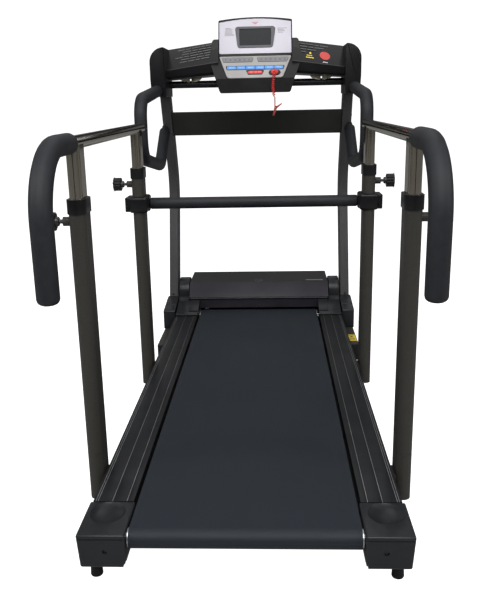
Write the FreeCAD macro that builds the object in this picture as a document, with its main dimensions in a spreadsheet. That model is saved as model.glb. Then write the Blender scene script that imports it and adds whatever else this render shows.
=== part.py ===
"""Walking treadmill with long height-adjustable handrails, as a FreeCAD document.

Millimetres, +X to the walker's right, +Y towards the console, +Z up.  The model's
origin is on the floor, midway along the machine.  In the sheet below every y is
counted from the back faces of the rear end caps, and `from_middle` moves it.
"""
import FreeCAD
import Part
import Sketcher
import math
import os
import re

App = FreeCAD

DIMENSIONS = {
    # overall and deck
    "overall_length": 2140,
    "rail_outer": 357, "rail_inner": 262, "rail_top": 131, "rail_skirt": 62,
    "rail_back": 142, "rail_front": 1671, "rail_wall": 3, "rail_lip": 20, "groove": 2,
    "cap_bottom": 52, "foot_x": 336, "foot_back": 52, "cap_taper": 6, "cap_wall": 4,
    "tube_inner": 272, "tube_wide": 40, "tube_bottom": 60, "tube_tall": 38, "tube_front": 2130, "tube_wall": 3,
    "cross_bottom": 86, "cross_deep": 40,
    "board_bottom": 109, "board_thick": 17.5, "board_half": 248, "board_back": 75, "board_front": 1715,
    # running belt, rollers and motor
    "belt_width": 506, "belt_thick": 2.2, "roller_radius": 21, "roller_half": 256, "roller_z": 106,
    "rear_roller_y": 35, "front_roller_y": 1760, "axle_radius": 6, "running_gap": 0.05, "belt_gap": 0.3,
    "pulley_x": -270, "pulley_wide": 12, "roller_pulley": 24, "motor_pulley": 16, "drive_belt_thick": 3,
    "motor_y": 1990, "motor_z": 118, "motor_radius": 46, "motor_x": -236, "motor_long": 156,
    "motor_tube_tall": 8, "motor_plate_thick": 4, "flywheel_radius": 47, "flywheel_wide": 16,
    # base frame, incline frame and actuator
    "arm_inner": 366, "arm_wide": 42, "arm_tall": 70, "arm_back": 1456, "base_tube": 40,
    "pivot_y": 1560, "pivot_z": 45, "pivot_radius": 7, "incline_x": 340, "incline_thick": 12,
    "wheel_y": 2020, "wheel_z": 28.5, "wheel_radius": 28, "wheel_wide": 20, "wheel_axle": 6,
    "mast_y": 2050, "mast_z": 175, "clevis_y": 1945, "clevis_z": 65, "pin_radius": 5,
    "actuator_side": 44, "actuator_long": 112, "screw_radius": 7, "screw_gap": 0.3, "eye_radius": 14,
    "eye_bore": 9.2,
    # motor cover and corner covers
    "hood_half": 310, "hood_wall": 3, "hood_back": 1800, "hood_front": 2115, "hood_lip": 126, "hood_step": 8,
    "hood_skirt": 100, "hood_low": 178, "hood_top": 237, "hood_crease": 1852, "hood_ridge": 2050,
    "cover_wide": 50, "cover_back": 1680, "cover_tall": 150,
    # uprights and cross panel
    "upright_inner": 365, "upright_wide": 40, "upright_deep": 84, "foot_y": 1815, "foot_z": 70,
    "knee_y": 2000, "knee_z": 655, "knee_radius": 260, "neck_y": 1802, "neck_z": 1108,
    "panel_low": 880, "panel_high": 980, "panel_deep": 40,
    # side handrails
    "post_x": 387, "rear_post_y": 332, "front_post_y": 1125, "post_wide": 40, "post_deep": 80,
    "post_bottom": 48, "post_top": 778, "seam_z": 172, "collar_tall": 34, "collar_rim": 3,
    "inner_wide": 32, "inner_deep": 70, "inner_foot": 500, "slide_gap": 0.3,
    "handrail_z": 939, "handrail_radius": 16, "handrail_front": 1215, "handrail_back": 40,
    "handrail_bend": 140, "handrail_foot": 642, "foam_radius": 24, "foam_start": 282, "foam_foot": 634,
    # cross bar between the front posts
    "bar_z": 691, "bar_radius": 20, "clamp_bottom": 664, "clamp_tall": 54, "clamp_inner": 352,
    "clamp_outer": 431, "clamp_deep": 100,
    # clamp knobs
    "knob_z": 757, "knob_radius": 22, "knob_long": 26, "knob_x": 446, "boss_radius": 11, "boss_long": 22,
    "stud_radius": 5, "flute_radius": 2.5,
    # console
    "keypad_y": 1680, "keypad_z": 1110, "keypad_tilt": 38.7, "keypad_rise": 141, "keypad_foot_half": 115,
    "keypad_top_half": 150, "sheet_thick": 3, "display_y": 1800, "display_z": 1206, "display_tilt": 67.3,
    "display_rise": 156, "display_half": 150, "housing_deep": 55,
    "key_pitch": 38, "key_wide": 36.5, "key_tall": 20, "key_thick": 6, "key_v": 52, "key_proud": 2,
    "start_wide": 60, "start_tall": 18, "start_v": 23, "key_gap": 0.4,
    "safety_x": 78, "safety_v": 29, "safety_radius": 15, "safety_tall": 9, "socket_radius": 6.4,
    "wing_inner": 168, "wing_outer": 360, "pod_outer": 422, "pod_back": 1700, "pod_front": 1905,
    "pod_bottom": 1044, "pod_top": 1234, "pod_round": 60,
    "pulse_y": 1840, "pulse_z": 1092, "pulse_radius": 15, "pulse_start": 140,
    "sensor_x": 272, "sensor_half": 51, "sensor_gap": 3, "sensor_z": 1107, "sensor_rise": 12, "sensor_deep": 18,
    # grip loops
    "loop_x": 396, "loop_core": 14, "loop_foam": 23, "foam_gap": 0.3,
    # lanyard and its clip
    "lanyard_radius": 5.5, "clip_y": 1669, "clip_half": 3, "clip_ear": 1.6, "clip_pin": 1,
}

# Where the cross tubes under the running board start, from the back.
CROSSINGS = ("160", "560", "960", "1360", "1640")

# Centre line of each grip loop in its own upright plane, as (y, z), and its bend radii.
LOOP_ROUTE = [(1712, 1067), (1285, 1031), (1277, 830), (1690, 772), (1893, 917)]
LOOP_FOAM_ROUTE = [(1698, 1065.8), (1285, 1031), (1277, 830), (1690, 772), (1874, 903.4)]
LOOP_BENDS = [70, 75, 70]

# Route of the lanyard, from the safety key down to the clip.
LANYARD_ROUTE = [
    (78, 1692, 1133), (77, 1674, 1122), (73, 1667, 1102), (70.5, 1667, 1080), (71, 1669, 1057),
    (76, 1669, 1034),
]

doc = App.newDocument("treadmill")
sheet = doc.addObject("Spreadsheet::Sheet", "Dims")
for line, (alias, number) in enumerate(DIMENSIONS.items(), start=1):
    sheet.set(f"A{line}", alias)
    sheet.set(f"B{line}", str(number))
    sheet.setAlias(f"B{line}", alias)
sums = doc.addObject("Spreadsheet::Sheet", "Sums")
doc.recompute()

NODES = []


def bound(text):
    """The expression with each dimension's name pointed at the sheet."""
    def point(found):
        word = found.group(0)
        return "Dims." + word if word in DIMENSIONS else word
    return re.sub(r"[a-z_]+", point, str(text))


def number(text):
    """What an expression is worth now."""
    sums.set("A1", "=" + bound(text))
    sums.recompute()
    return float(sums.get("A1"))


def from_middle(y):
    """A y counted from the end caps, as a y of the model."""
    return f"{y} - overall_length / 2"


def place(thing, x, y, z):
    for axis, where in zip("xyz", (x, from_middle(y), z)):
        thing.setExpression("Placement.Base." + axis, bound(where))
    return thing


def keep(name, thing):
    """Mark an object as a sub-part: its label is its file's name."""
    thing.Label = name
    NODES.append((name, thing))
    return thing


# ---- primitives and booleans -----------------------------------------------------------------

def made(name):
    """A sub-part that has been kept already."""
    return dict(NODES)[name]


def block(x, y, z, dx, dy, dz):
    """A box from its lowest corner and its sides."""
    box = doc.addObject("Part::Box", "Block")
    for side, size in zip(("Length", "Width", "Height"), (dx, dy, dz)):
        box.setExpression(side, bound(size))
    return place(box, x, y, z)


def box_tube(axis, x, y, z, dx, dy, dz):
    """A rectangular tube: a box with its middle taken out along one axis."""
    starts, lengths = [], []
    for name, start, length in zip("xyz", (x, y, z), (dx, dy, dz)):
        inset = "-1" if name == axis else "tube_wall"
        starts.append(f"{start} + ({inset})")
        lengths.append(f"{length} - 2 * ({inset})")
    return cut(block(x, y, z, dx, dy, dz), block(*starts, *lengths))


def beam(x, y, z, dx, dy, dz):
    """A box that is as wide on both sides of the machine: a mirrored pair."""
    near = block(x, y, z, dx, dy, dz)
    return [near, mirror(near)]


AXES = {
    "x": App.Rotation(App.Vector(0, 1, 0), 90),
    "y": App.Rotation(App.Vector(-1, 0, 0), 90),
    "z": App.Rotation(),
}


def rod(axis, x, y, z, radius, length):
    """A cylinder that runs along an axis from its first end."""
    cylinder = doc.addObject("Part::Cylinder", "Rod")
    cylinder.Placement = App.Placement(App.Vector(), AXES[axis])
    cylinder.setExpression("Radius", bound(radius))
    cylinder.setExpression("Height", bound(length))
    return place(cylinder, x, y, z)


def mirror(thing):
    other = doc.addObject("Part::Mirroring", "Mirror")
    other.Source = thing
    other.Normal = App.Vector(1, 0, 0)
    return other


def fuse(*things):
    union = doc.addObject("Part::MultiFuse", "Fuse")
    union.Shapes = list(things)
    union.Refine = True
    return union


def cut(thing, *tools):
    result = doc.addObject("Part::Cut", "Cut")
    result.Base = thing
    result.Tool = tools[0] if len(tools) == 1 else group(*tools)
    return result


def common(first, second):
    result = doc.addObject("Part::Common", "Common")
    result.Base = first
    result.Tool = second
    return result


def group(*things):
    """Separate solids that share one node."""
    bag = doc.addObject("Part::Compound", "Group")
    bag.Links = list(things)
    return bag


def oval(x, y, z, wide, deep, tall):
    """An upright flat-oval bar about a centre line at x, y."""
    half = f"({wide}) / 2"
    straight = f"({deep}) / 2 - {half}"
    middle = block(f"{x} - {half}", f"{y} - ({straight})", z, wide, f"2 * ({straight})", tall)
    ends = [rod("z", x, f"{y} {sign} ({straight})", z, half, tall) for sign in "+-"]
    return fuse(middle, *ends)


# ---- sketched bodies -------------------------------------------------------------------------

PLANES = {"XY": ("XY_Plane", 1), "XZ": ("XZ_Plane", -1), "YZ": ("YZ_Plane", 1)}


def new_body(y="0", z="0", tilt=None):
    """A body whose own frame sits at y, z and leans back by tilt degrees about X."""
    body = doc.addObject("PartDesign::Body", "Body")
    if tilt:
        body.Placement = App.Placement(App.Vector(), App.Rotation(App.Vector(1, 0, 0), 1))
        body.setExpression("Placement.Rotation.Angle", bound(f"{tilt} * 1deg"))
    return place(body, "0", y, z)


def sketch_on(body, plane, offset="0"):
    role, sign = PLANES[plane]
    sketch = body.newObject("Sketcher::SketchObject", "Sketch")
    face = [feature for feature in body.Origin.OriginFeatures if feature.Role == role][0]
    sketch.AttachmentSupport = [(face, "")]
    sketch.MapMode = "FlatFace"
    sketch.setExpression("AttachmentOffset.Base.z", bound(f"{sign} * ({offset})"))
    return sketch


def outline(sketch, corners):
    """A closed outline of straight lines, each corner bound to its two expressions."""
    spots = [App.Vector(number(u), number(v), 0) for u, v in corners]
    last = len(spots) - 1
    for i, spot in enumerate(spots):
        sketch.addGeometry(Part.LineSegment(spot, spots[0 if i == last else i + 1]), False)
    for i in range(len(spots)):
        sketch.addConstraint(Sketcher.Constraint("Coincident", i, 2, 0 if i == last else i + 1, 1))
    for i, (corner, spot) in enumerate(zip(corners, spots)):
        for kind, text, now in (("DistanceX", corner[0], spot.x), ("DistanceY", corner[1], spot.y)):
            index = sketch.addConstraint(Sketcher.Constraint(kind, -1, 1, i, 1, now))
            sketch.setExpression(f"Constraints[{index}]", bound(text))
    return sketch


def prism(plane, corners, start, length, **frame):
    """A body padded from an outline on a plane, from start along the plane's own axis."""
    body = new_body(**frame)
    pad = body.newObject("PartDesign::Pad", "Pad")
    pad.Profile = outline(sketch_on(body, plane, start), corners)
    pad.Reversed = plane == "XZ"
    pad.setExpression("Length", bound(length))
    return body


def round_edges(body, radius, chosen):
    """Fillet the body's edges for which chosen(edge) is true."""
    doc.recompute()
    tip = body.Tip
    names = [f"Edge{i}" for i, edge in enumerate(tip.Shape.Edges, start=1) if chosen(edge)]
    fillet = body.newObject("PartDesign::Fillet", "Fillet")
    fillet.Base = (tip, names)
    fillet.setExpression("Radius", bound(radius))
    return body


def along(edge, axis):
    """Whether a straight edge runs along an axis."""
    direction = edge.tangentAt(edge.FirstParameter)
    return edge.Curve.TypeId == "Part::GeomLine" and abs(getattr(direction, axis)) > 0.99


def rounded_route(spots, radii):
    """Straight runs joined by tangent arcs, one radius for each inner point."""
    edges, start = [], spots[0]
    for before, here, after, radius in zip(spots, spots[1:], spots[2:], radii):
        back, on = (before - here).normalize(), (after - here).normalize()
        turn = math.pi - back.getAngle(on)
        reach = radius * math.tan(turn / 2)
        first, second = here + back * reach, here + on * reach
        inward = (back + on).normalize()
        middle = here + inward * (radius / math.cos(turn / 2) - radius)
        edges += [Part.LineSegment(start, first), Part.Arc(first, middle, second)]
        start = second
    return edges + [Part.LineSegment(start, spots[-1])]


def pipe(x, route, bends, radius, bore=None):
    """A round tube along a route of (y, z) points in the plane at x; bore makes it hollow."""
    body = new_body()
    spine = sketch_on(body, "YZ", x)
    spots = [App.Vector(y, z, 0) for y, z in route]
    for edge in rounded_route(spots, bends):
        spine.addGeometry(edge, False)
    first = spots[1] - spots[0]
    lean = math.degrees(math.atan2(first.y, first.x))
    for size, kind in ((radius, "AdditivePipe"), (bore, "SubtractivePipe")):
        if size:
            profile = sketch_on(body, "YZ", x)
            profile.AttachmentOffset = App.Placement(
                App.Vector(spots[0].x, spots[0].y, number(x)),
                App.Rotation(App.Vector(0, 0, 1), lean) * App.Rotation(App.Vector(0, 1, 0), 90),
            )
            profile.addGeometry(Part.Circle(App.Vector(), App.Vector(0, 0, 1), number(size)), False)
            profile.addConstraint(Sketcher.Constraint("Coincident", 0, 3, -1, 1))
            profile.addConstraint(Sketcher.Constraint("Radius", 0, number(size)))
            profile.setExpression("Constraints[1]", bound(size))
            sweep = body.newObject("PartDesign::" + kind, "Sweep")
            sweep.Profile = profile
            sweep.Spine = (spine, [])
    return body


def tilted(surface, x, v, w, dx, dv, dw):
    """A box on a leaning face: v up the face, w out of it."""
    box = doc.addObject("Part::Box", "Slab")
    box.Placement = App.Placement(App.Vector(), App.Rotation(App.Vector(1, 0, 0), 1))
    for side, size in zip(("Length", "Width", "Height"), (dx, dv, dw)):
        box.setExpression(side, bound(size))
    return lean_on(box, surface, x, v, w)


def lean_on(thing, surface, x, v, w):
    angle = f"{surface}_tilt * 1deg"
    y = f"{surface}_y + ({v}) * cos({angle}) - ({w}) * sin({angle})"
    z = f"{surface}_z + ({v}) * sin({angle}) + ({w}) * cos({angle})"
    thing.setExpression("Placement.Rotation.Angle", bound(angle))
    return place(thing, x, y, z)


def peg(surface, x, v, w, radius, length):
    """A cylinder that stands on a leaning face."""
    cylinder = doc.addObject("Part::Cylinder", "Peg")
    cylinder.Placement = App.Placement(App.Vector(), App.Rotation(App.Vector(1, 0, 0), 1))
    cylinder.setExpression("Radius", bound(radius))
    cylinder.setExpression("Height", bound(length))
    return lean_on(cylinder, surface, x, v, w)


# ---- deck ------------------------------------------------------------------------------------

def side_rails():
    """Extruded foot rails: a ribbed top on an outer skirt and a short inner lip."""
    top, low = "rail_top", "rail_top - rail_wall"
    corners = [("rail_inner", "rail_top - rail_lip"), ("rail_inner", top)]
    for ridge in ("rail_outer - 80", "rail_outer - 46", "rail_outer - 12", "rail_outer - 7"):
        corners += [
            (ridge, top), (ridge, "rail_top - groove / 2"),
            (f"{ridge} + groove", "rail_top - groove / 2"), (f"{ridge} + groove", top),
        ]
    corners += [
        ("rail_outer", top), ("rail_outer", "rail_skirt"),
        ("rail_outer - rail_wall", "rail_skirt"), ("rail_outer - rail_wall", low),
        ("rail_inner + rail_wall", low), ("rail_inner + rail_wall", "rail_top - rail_lip"),
    ]
    right = prism("XZ", corners, "rail_back", "rail_front - rail_back")
    keep("side_rail_right", right)
    keep("side_rail_left", mirror(right))


def rear_caps():
    """Moulded end caps, open at the front and below, with a slot for the roller's axle."""
    shell = prism("XZ", [
        ("rail_inner", "rail_top"), ("rail_outer", "rail_top"),
        ("rail_outer - cap_taper", "cap_bottom"), ("rail_inner + 3", "cap_bottom"),
    ], "0", "rail_back")
    round_edges(shell, "5", lambda edge: along(edge, "x") and edge.CenterOfMass.y < 1
                and edge.CenterOfMass.z > 100)
    hollow = prism("XZ", [
        ("rail_inner + cap_wall", "rail_top - cap_wall"), ("rail_outer - cap_wall", "rail_top - cap_wall"),
        ("rail_outer - cap_taper - cap_wall", "cap_bottom - 1"),
        ("rail_inner + 3 + cap_wall", "cap_bottom - 1"),
    ], "cap_wall", "rail_back")
    slot = block("rail_inner - 5", "rear_roller_y - 8", "roller_z - 8", "16", "16", "16")
    bolt_way = rod("y", "(rail_inner + rail_outer) / 2 - 8", "-1", "roller_z - 14", "5.5", "cap_wall + 2")
    right = cut(shell, hollow, slot, bolt_way)
    keep("rear_caps", group(right, mirror(right)))


def rail_front_caps():
    """Covers over the rails' front ends and the drive pulley, rising to the motor cover."""
    start, end = "rail_front - 6", "hood_back - 1"
    top = prism("YZ", [
        (start, "rail_top"), (start, "rail_top + 5"), ("rail_front + 29", "rail_top + 9"),
        (end, "rail_top + 34"),
        (end, "rail_top + 30"), ("rail_front + 29", "rail_top + 5"), ("rail_front", "rail_top + 2"),
        ("rail_front", "rail_top"),
    ], "rail_inner", "rail_outer - rail_inner")
    skirt = prism("YZ", [
        ("rail_front", "rail_skirt + 8"), (end, "rail_skirt + 8"), (end, "rail_top + 31"),
        ("rail_front + 29", "rail_top + 6"), ("rail_front", "rail_top + 3"),
    ], "rail_outer - rail_wall", "rail_wall")
    right = fuse(top, skirt)
    keep("rail_front_caps", group(right, mirror(right)))


def deck_frame():
    """Two long tubes with cross tubes inside the belt loop, and the motor's mounting."""
    rail = box_tube("y", "tube_inner", "8", "tube_bottom", "tube_wide", "tube_front - 8", "tube_tall")
    solids = [rail, mirror(rail)]
    solids += beam("tube_inner + tube_wide", "foot_back - 18", "cap_bottom + 2", "34", "36", "18")
    crossings = [
        block("-tube_inner", y, "cross_bottom", "2 * tube_inner", "cross_deep",
              "tube_bottom + tube_tall - cross_bottom")
        for y in CROSSINGS
    ]
    guard = cut(block("rail_inner", "rail_back", "tube_bottom", "rail_wall", "rail_front - rail_back",
                      "rail_top - rail_lip - tube_bottom"), *crossings)
    solids += [*crossings, guard, mirror(guard)]
    for end in ("rear", "front"):
        bearer = block("tube_inner", f"{end}_roller_y - 20", "tube_bottom + tube_tall", "tube_wide", "40", "20")
        bearer = cut(bearer, rod("x", "250", f"{end}_roller_y", "roller_z", "axle_radius", "100"))
        solids += [bearer, mirror(bearer)]
    solids += [
        block("-tube_inner", "motor_y + 18", "tube_bottom", "2 * tube_inner", "22", "motor_tube_tall"),
        block("motor_x", "motor_y - 40", "tube_bottom + motor_tube_tall", "motor_long", "80",
              "motor_plate_thick"),
        block("-tube_inner", "mast_y - 15", "tube_bottom", "2 * tube_inner", "30", "tube_tall"),
    ]
    mast_ears = beam("actuator_side / 2 + 4", "mast_y - 15", "tube_bottom + tube_tall", "6", "30",
                     "mast_z - tube_bottom - tube_tall + 12")
    mast_pin = rod("x", "-(actuator_side / 2 + 12)", "mast_y", "mast_z", "pin_radius", "actuator_side + 24")
    keep("deck_frame", group(*solids, fuse(*mast_ears, mast_pin)))


def deck_board():
    """Waxed board under the belt's top run."""
    keep("deck_board", block("-board_half", "board_back", "board_bottom", "2 * board_half",
                             "board_front - board_back", "board_thick"))


def deck_cushions():
    pads = []
    for y in CROSSINGS:
        pads += beam("board_half - 60", f"{y} + 5", "tube_bottom + tube_tall", "45", "cross_deep - 10",
                     "board_bottom - tube_bottom - tube_tall")
    keep("deck_cushions", group(*pads))


def loop_solid(half, inside, outside):
    """The space between two flat loops around both rollers."""
    loops = []
    for radius, grow in ((outside, "0"), (inside, "1")):
        run = block(f"-({half}) - {grow}", "rear_roller_y", f"roller_z - ({radius})", f"2 * ({half} + {grow})",
                    "front_roller_y - rear_roller_y", f"2 * ({radius})")
        ends = [
            rod("x", f"-({half}) - {grow}", f"{end}_roller_y", "roller_z", radius, f"2 * ({half} + {grow})")
            for end in ("rear", "front")
        ]
        loops.append(fuse(run, *ends))
    return cut(*loops)


def running_belt():
    keep("running_belt", loop_solid("belt_width / 2", "roller_radius + belt_gap",
                                    "roller_radius + belt_gap + belt_thick"))


def rollers():
    """Steel rollers that turn on fixed axles; the front one carries the driven pulley."""
    for end in ("rear", "front"):
        shell = rod("x", "-roller_half", f"{end}_roller_y", "roller_z", "roller_radius", "2 * roller_half")
        if end == "front":
            hub = rod("x", "pulley_x", "front_roller_y", "roller_z", "roller_pulley", "pulley_wide")
            neck = rod("x", "pulley_x + pulley_wide", "front_roller_y", "roller_z", "12",
                       "-roller_half - pulley_x - pulley_wide")
            shell = fuse(shell, hub, neck)
        bore = rod("x", "-300", f"{end}_roller_y", "roller_z", "axle_radius + running_gap", "600")
        keep(f"{end}_roller", cut(shell, bore))
    axles = [rod("x", "-(tube_inner + tube_wide + 8)", f"{end}_roller_y", "roller_z", "axle_radius",
                 "2 * (tube_inner + tube_wide + 8)") for end in ("rear", "front")]
    keep("roller_axles", group(*axles))


def motor():
    """Drive motor with its flywheel, and the ribbed belt to the front roller."""
    can = rod("x", "motor_x", "motor_y", "motor_z", "motor_radius", "motor_long")
    bell = rod("x", "motor_x - 2", "motor_y", "motor_z", "motor_radius - 12", "motor_long + 14")
    shaft_way = rod("x", "motor_x - 4", "motor_y", "motor_z", "8.1", "motor_long + 6")
    keep("motor_body", cut(fuse(can, bell), shaft_way))
    shaft = rod("x", "pulley_x", "motor_y", "motor_z", "8", "motor_x + motor_long - pulley_x")
    disc = rod("x", "motor_x - 4 - flywheel_wide", "motor_y", "motor_z", "flywheel_radius", "flywheel_wide")
    pulley = rod("x", "pulley_x", "motor_y", "motor_z", "motor_pulley", "pulley_wide - 1")
    keep("motor_flywheel", fuse(shaft, disc, pulley))


def drive_belt():
    """A closed loop that wraps the two pulleys with a small gap."""
    first = App.Vector(0, number("front_roller_y"), number("roller_z"))
    second = App.Vector(0, number("motor_y"), number("motor_z"))
    span = second - first
    gap = number("belt_gap")

    def face(extra):
        big = number("roller_pulley") + gap + extra
        small = number("motor_pulley") + gap + extra
        lean = math.acos((big - small) / span.Length)
        heading = math.atan2(span.z, span.y)

        def spot(centre, radius, angle):
            return centre + App.Vector(0, math.cos(angle), math.sin(angle)) * radius

        a, b = heading + lean, heading - lean
        return Part.Face(Part.Wire([
            Part.Arc(spot(first, big, a), spot(first, big, heading + math.pi), spot(first, big, b)).toShape(),
            Part.LineSegment(spot(first, big, b), spot(second, small, b)).toShape(),
            Part.Arc(spot(second, small, b), spot(second, small, heading), spot(second, small, a)).toShape(),
            Part.LineSegment(spot(second, small, a), spot(first, big, a)).toShape(),
        ]))

    ring = face(number("drive_belt_thick")).cut(face(0))
    belt = doc.addObject("Part::Feature", "DriveBelt")
    belt.Shape = ring.extrude(App.Vector(number("pulley_wide - 2"), 0, 0))
    keep("drive_belt", place(belt, "pulley_x + 1", "0", "0"))


# ---- base, incline frame and covers ----------------------------------------------------------

def base_frame():
    """Floor arms outside the rails, joined under the deck, with the incline frame's pivot rod."""
    arm = box_tube("y", "arm_inner", "arm_back", "0", "arm_wide", "overall_length - arm_back", "arm_tall")
    crossings = [
        block("-arm_inner", y, "0", "2 * arm_inner", "base_tube", "base_tube")
        for y in ("arm_back + 24", "overall_length - base_tube")
    ]
    stands = []
    for y in ("arm_back + 24", "overall_length - base_tube"):
        stands += beam("tube_inner", y, "base_tube", "tube_wide", "30", "tube_bottom - base_tube")
    pivot = rod("x", "-arm_inner", "pivot_y", "pivot_z", "pivot_radius", "2 * arm_inner")
    keep("base_frame", group(arm, mirror(arm), *crossings, *stands, pivot))


def incline_frame():
    """U frame that swings down from the pivot rod and pushes the front up on its wheels."""
    arm = cut(
        block("incline_x", "pivot_y - 15", "wheel_z - 12", "incline_thick", "wheel_y - pivot_y + 30", "44"),
        rod("x", "incline_x - 1", "pivot_y", "pivot_z", "pivot_radius + running_gap", "incline_thick + 2"),
    )
    crossing = block("-incline_x", "clevis_y - 15", "20", "2 * incline_x", "30", "20")
    ears = beam("13", "clevis_y - 15", "40", "7", "30", "clevis_z - 28")
    pin = rod("x", "-20", "clevis_y", "clevis_z", "pin_radius", "40")
    stub = rod("x", "incline_x - wheel_wide - 10", "wheel_y", "wheel_z", "wheel_axle", "wheel_wide + 10")
    keep("incline_frame", group(arm, mirror(arm), crossing, fuse(*ears, pin), stub, mirror(stub)))
    tyre = rod("x", "incline_x - wheel_wide - 4", "wheel_y", "wheel_z", "wheel_radius", "wheel_wide")
    bore = rod("x", "incline_x - wheel_wide - 6", "wheel_y", "wheel_z", "wheel_axle + running_gap",
               "wheel_wide + 4")
    wheel = cut(tyre, bore)
    keep("transport_wheel_right", wheel)
    keep("transport_wheel_left", mirror(wheel))


def actuator():
    """Incline actuator: a gearbox swung on the frame's pin, and its lifting screw."""
    start = App.Vector(0, number(from_middle("mast_y")), number("mast_z"))
    end = App.Vector(0, number(from_middle("clevis_y")), number("clevis_z"))
    turn = App.Rotation(App.Vector(0, 0, 1), end - start)
    side = number("actuator_side")

    def lined_up(name, shape):
        feature = doc.addObject("Part::Feature", name)
        feature.Shape = shape
        feature.Placement = App.Placement(start, turn)
        return feature

    case = Part.makeBox(side, side, number("actuator_long"), App.Vector(-side / 2, -side / 2, -side / 2))
    bore = Part.makeCylinder(number("screw_radius + screw_gap"), number("actuator_long"), App.Vector(0, 0, 18))
    swivel = Part.makeCylinder(number("pin_radius + running_gap"), side, App.Vector(-side / 2, 0, 0),
                               App.Vector(1, 0, 0))
    keep("incline_actuator", lined_up("Actuator", case.cut(bore).cut(swivel)))
    reach = (end - start).Length
    stem = Part.makeCylinder(number("screw_radius"), reach - 34, App.Vector(0, 0, 22))
    eye = Part.makeCylinder(number("eye_radius"), 20, App.Vector(-10, 0, reach), App.Vector(1, 0, 0))
    eye_bore = Part.makeCylinder(number("eye_bore"), 22, App.Vector(-11, 0, reach), App.Vector(1, 0, 0))
    keep("incline_screw", lined_up("Screw", stem.fuse(eye).cut(eye_bore)))


def motor_cover():
    """Thin hood over the motor: flat top, sloping back, and a set-back lip above the belt."""
    def profile(inset, bottom):
        lip = f"hood_back + hood_step + {inset}"
        return [
            (lip, bottom), (lip, f"hood_low - hood_step + {inset} / 2"),
            (f"hood_back + {inset}", f"hood_low - hood_step + {inset} / 2"),
            (f"hood_back + {inset}", f"hood_low - {inset} / 2"),
            (f"hood_crease + {inset}", f"hood_top - {inset}"), (f"hood_ridge - {inset}", f"hood_top - {inset}"),
            (f"hood_front - {inset}", f"hood_low + 22 - {inset}"), (f"hood_front - {inset}", bottom),
        ]
    outer = prism("YZ", profile("0", "hood_skirt"), "-hood_half", "2 * hood_half")
    inner = prism("YZ", profile("hood_wall", "hood_skirt - 1"), "hood_wall - hood_half",
                  "2 * hood_half - 2 * hood_wall")
    reach = "hood_step + hood_wall + 2"
    mouth = block("-tube_inner", "hood_back - 1", "hood_skirt - 1", "2 * tube_inner", reach,
                  "hood_lip - hood_skirt + 1")
    belt_slot = block("pulley_x - 2", "hood_back - 1", "hood_skirt - 1", "pulley_wide + 4", reach, "40")
    keep("motor_cover", cut(outer, inner, mouth, belt_slot))


def corner_covers():
    """Covers at the foot of each upright, and rounded ones beside the motor cover."""
    def wedge(inset, lift):
        return [
            (f"cover_back + {inset}", f"arm_tall - {lift}"), (f"cover_back + {inset}", f"cover_tall - {inset}"),
            (f"foot_y + 28 - {inset} / 2", f"cover_tall + 22 - {inset}"),
            (f"foot_y - 2 - {inset} / 2", f"arm_tall - {lift}"),
        ]
    outer = prism("YZ", wedge("0", "0"), "upright_inner - 4", "cover_wide")
    inner = prism("YZ", wedge("cap_wall", "1"), "upright_inner - 1", "cover_wide - 6")
    foot = cut(outer, inner)
    side = block("hood_half + 3", "hood_back + 40", "tube_bottom + tube_tall", "46", "150", "160")
    crown = rod("x", "hood_half + 3", "hood_back + 100", "tube_bottom + tube_tall + 80", "75", "46")
    disc = common(side, crown)
    keep("corner_covers", group(foot, mirror(foot), disc, mirror(disc)))


# ---- uprights and console --------------------------------------------------------------------

def uprights():
    """Rectangular tubes that lean forward to a knee and back to the console."""
    def leaning(inset, overrun, start, length):
        back = f"{inset} * 1.1"
        bent = prism("YZ", [
            (f"foot_y + {back}", f"foot_z - {overrun}"),
            (f"foot_y + upright_deep - {back}", f"foot_z - {overrun}"),
            (f"knee_y + upright_deep - {back}", "knee_z"),
            (f"neck_y + upright_deep - {back}", f"neck_z + {overrun}"),
            (f"neck_y + {back}", f"neck_z + {overrun}"), (f"knee_y + {back}", "knee_z"),
        ], start, length)
        return round_edges(bent, "knee_radius", lambda edge: along(edge, "x")
                           and abs(edge.CenterOfMass.z - number("knee_z")) < 5)
    outer = leaning("0", "0", "upright_inner", "upright_wide")
    inner = leaning("tube_wall", "1", "upright_inner + tube_wall", "upright_wide - 2 * tube_wall")
    right = cut(outer, inner)
    keep("uprights", group(right, mirror(right)))
    return outer


def cross_panel():
    """Box bar between the uprights, leaning with them."""
    slope = "(knee_y - neck_y) / (neck_z - knee_z)"
    low, high = (f"knee_y - ({z} - knee_z) * {slope} + 6" for z in ("panel_low", "panel_high"))
    keep("cross_panel", prism("YZ", [
        (low, "panel_low"), (f"{low} + panel_deep", "panel_low"),
        (f"{high} + panel_deep", "panel_high"), (high, "panel_high"),
    ], "-upright_inner", "2 * upright_inner"))


def frame_bolts():
    """Bolt heads outside the uprights, the rear roller's tension bolts and the foot screws."""
    bolts = []
    for y, z in (("1917", "955"), ("1935", "915"), ("1860", "110"), ("1880", "150")):
        bolts.append(rod("x", "upright_inner + upright_wide", y, z, "8", "6"))
    bolts.append(rod("y", "(rail_inner + rail_outer) / 2 - 8", "cap_wall + 1", "roller_z - 14", "5", "3"))
    keep("frame_bolts", group(*[side for bolt in bolts for side in (bolt, mirror(bolt))]))


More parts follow.
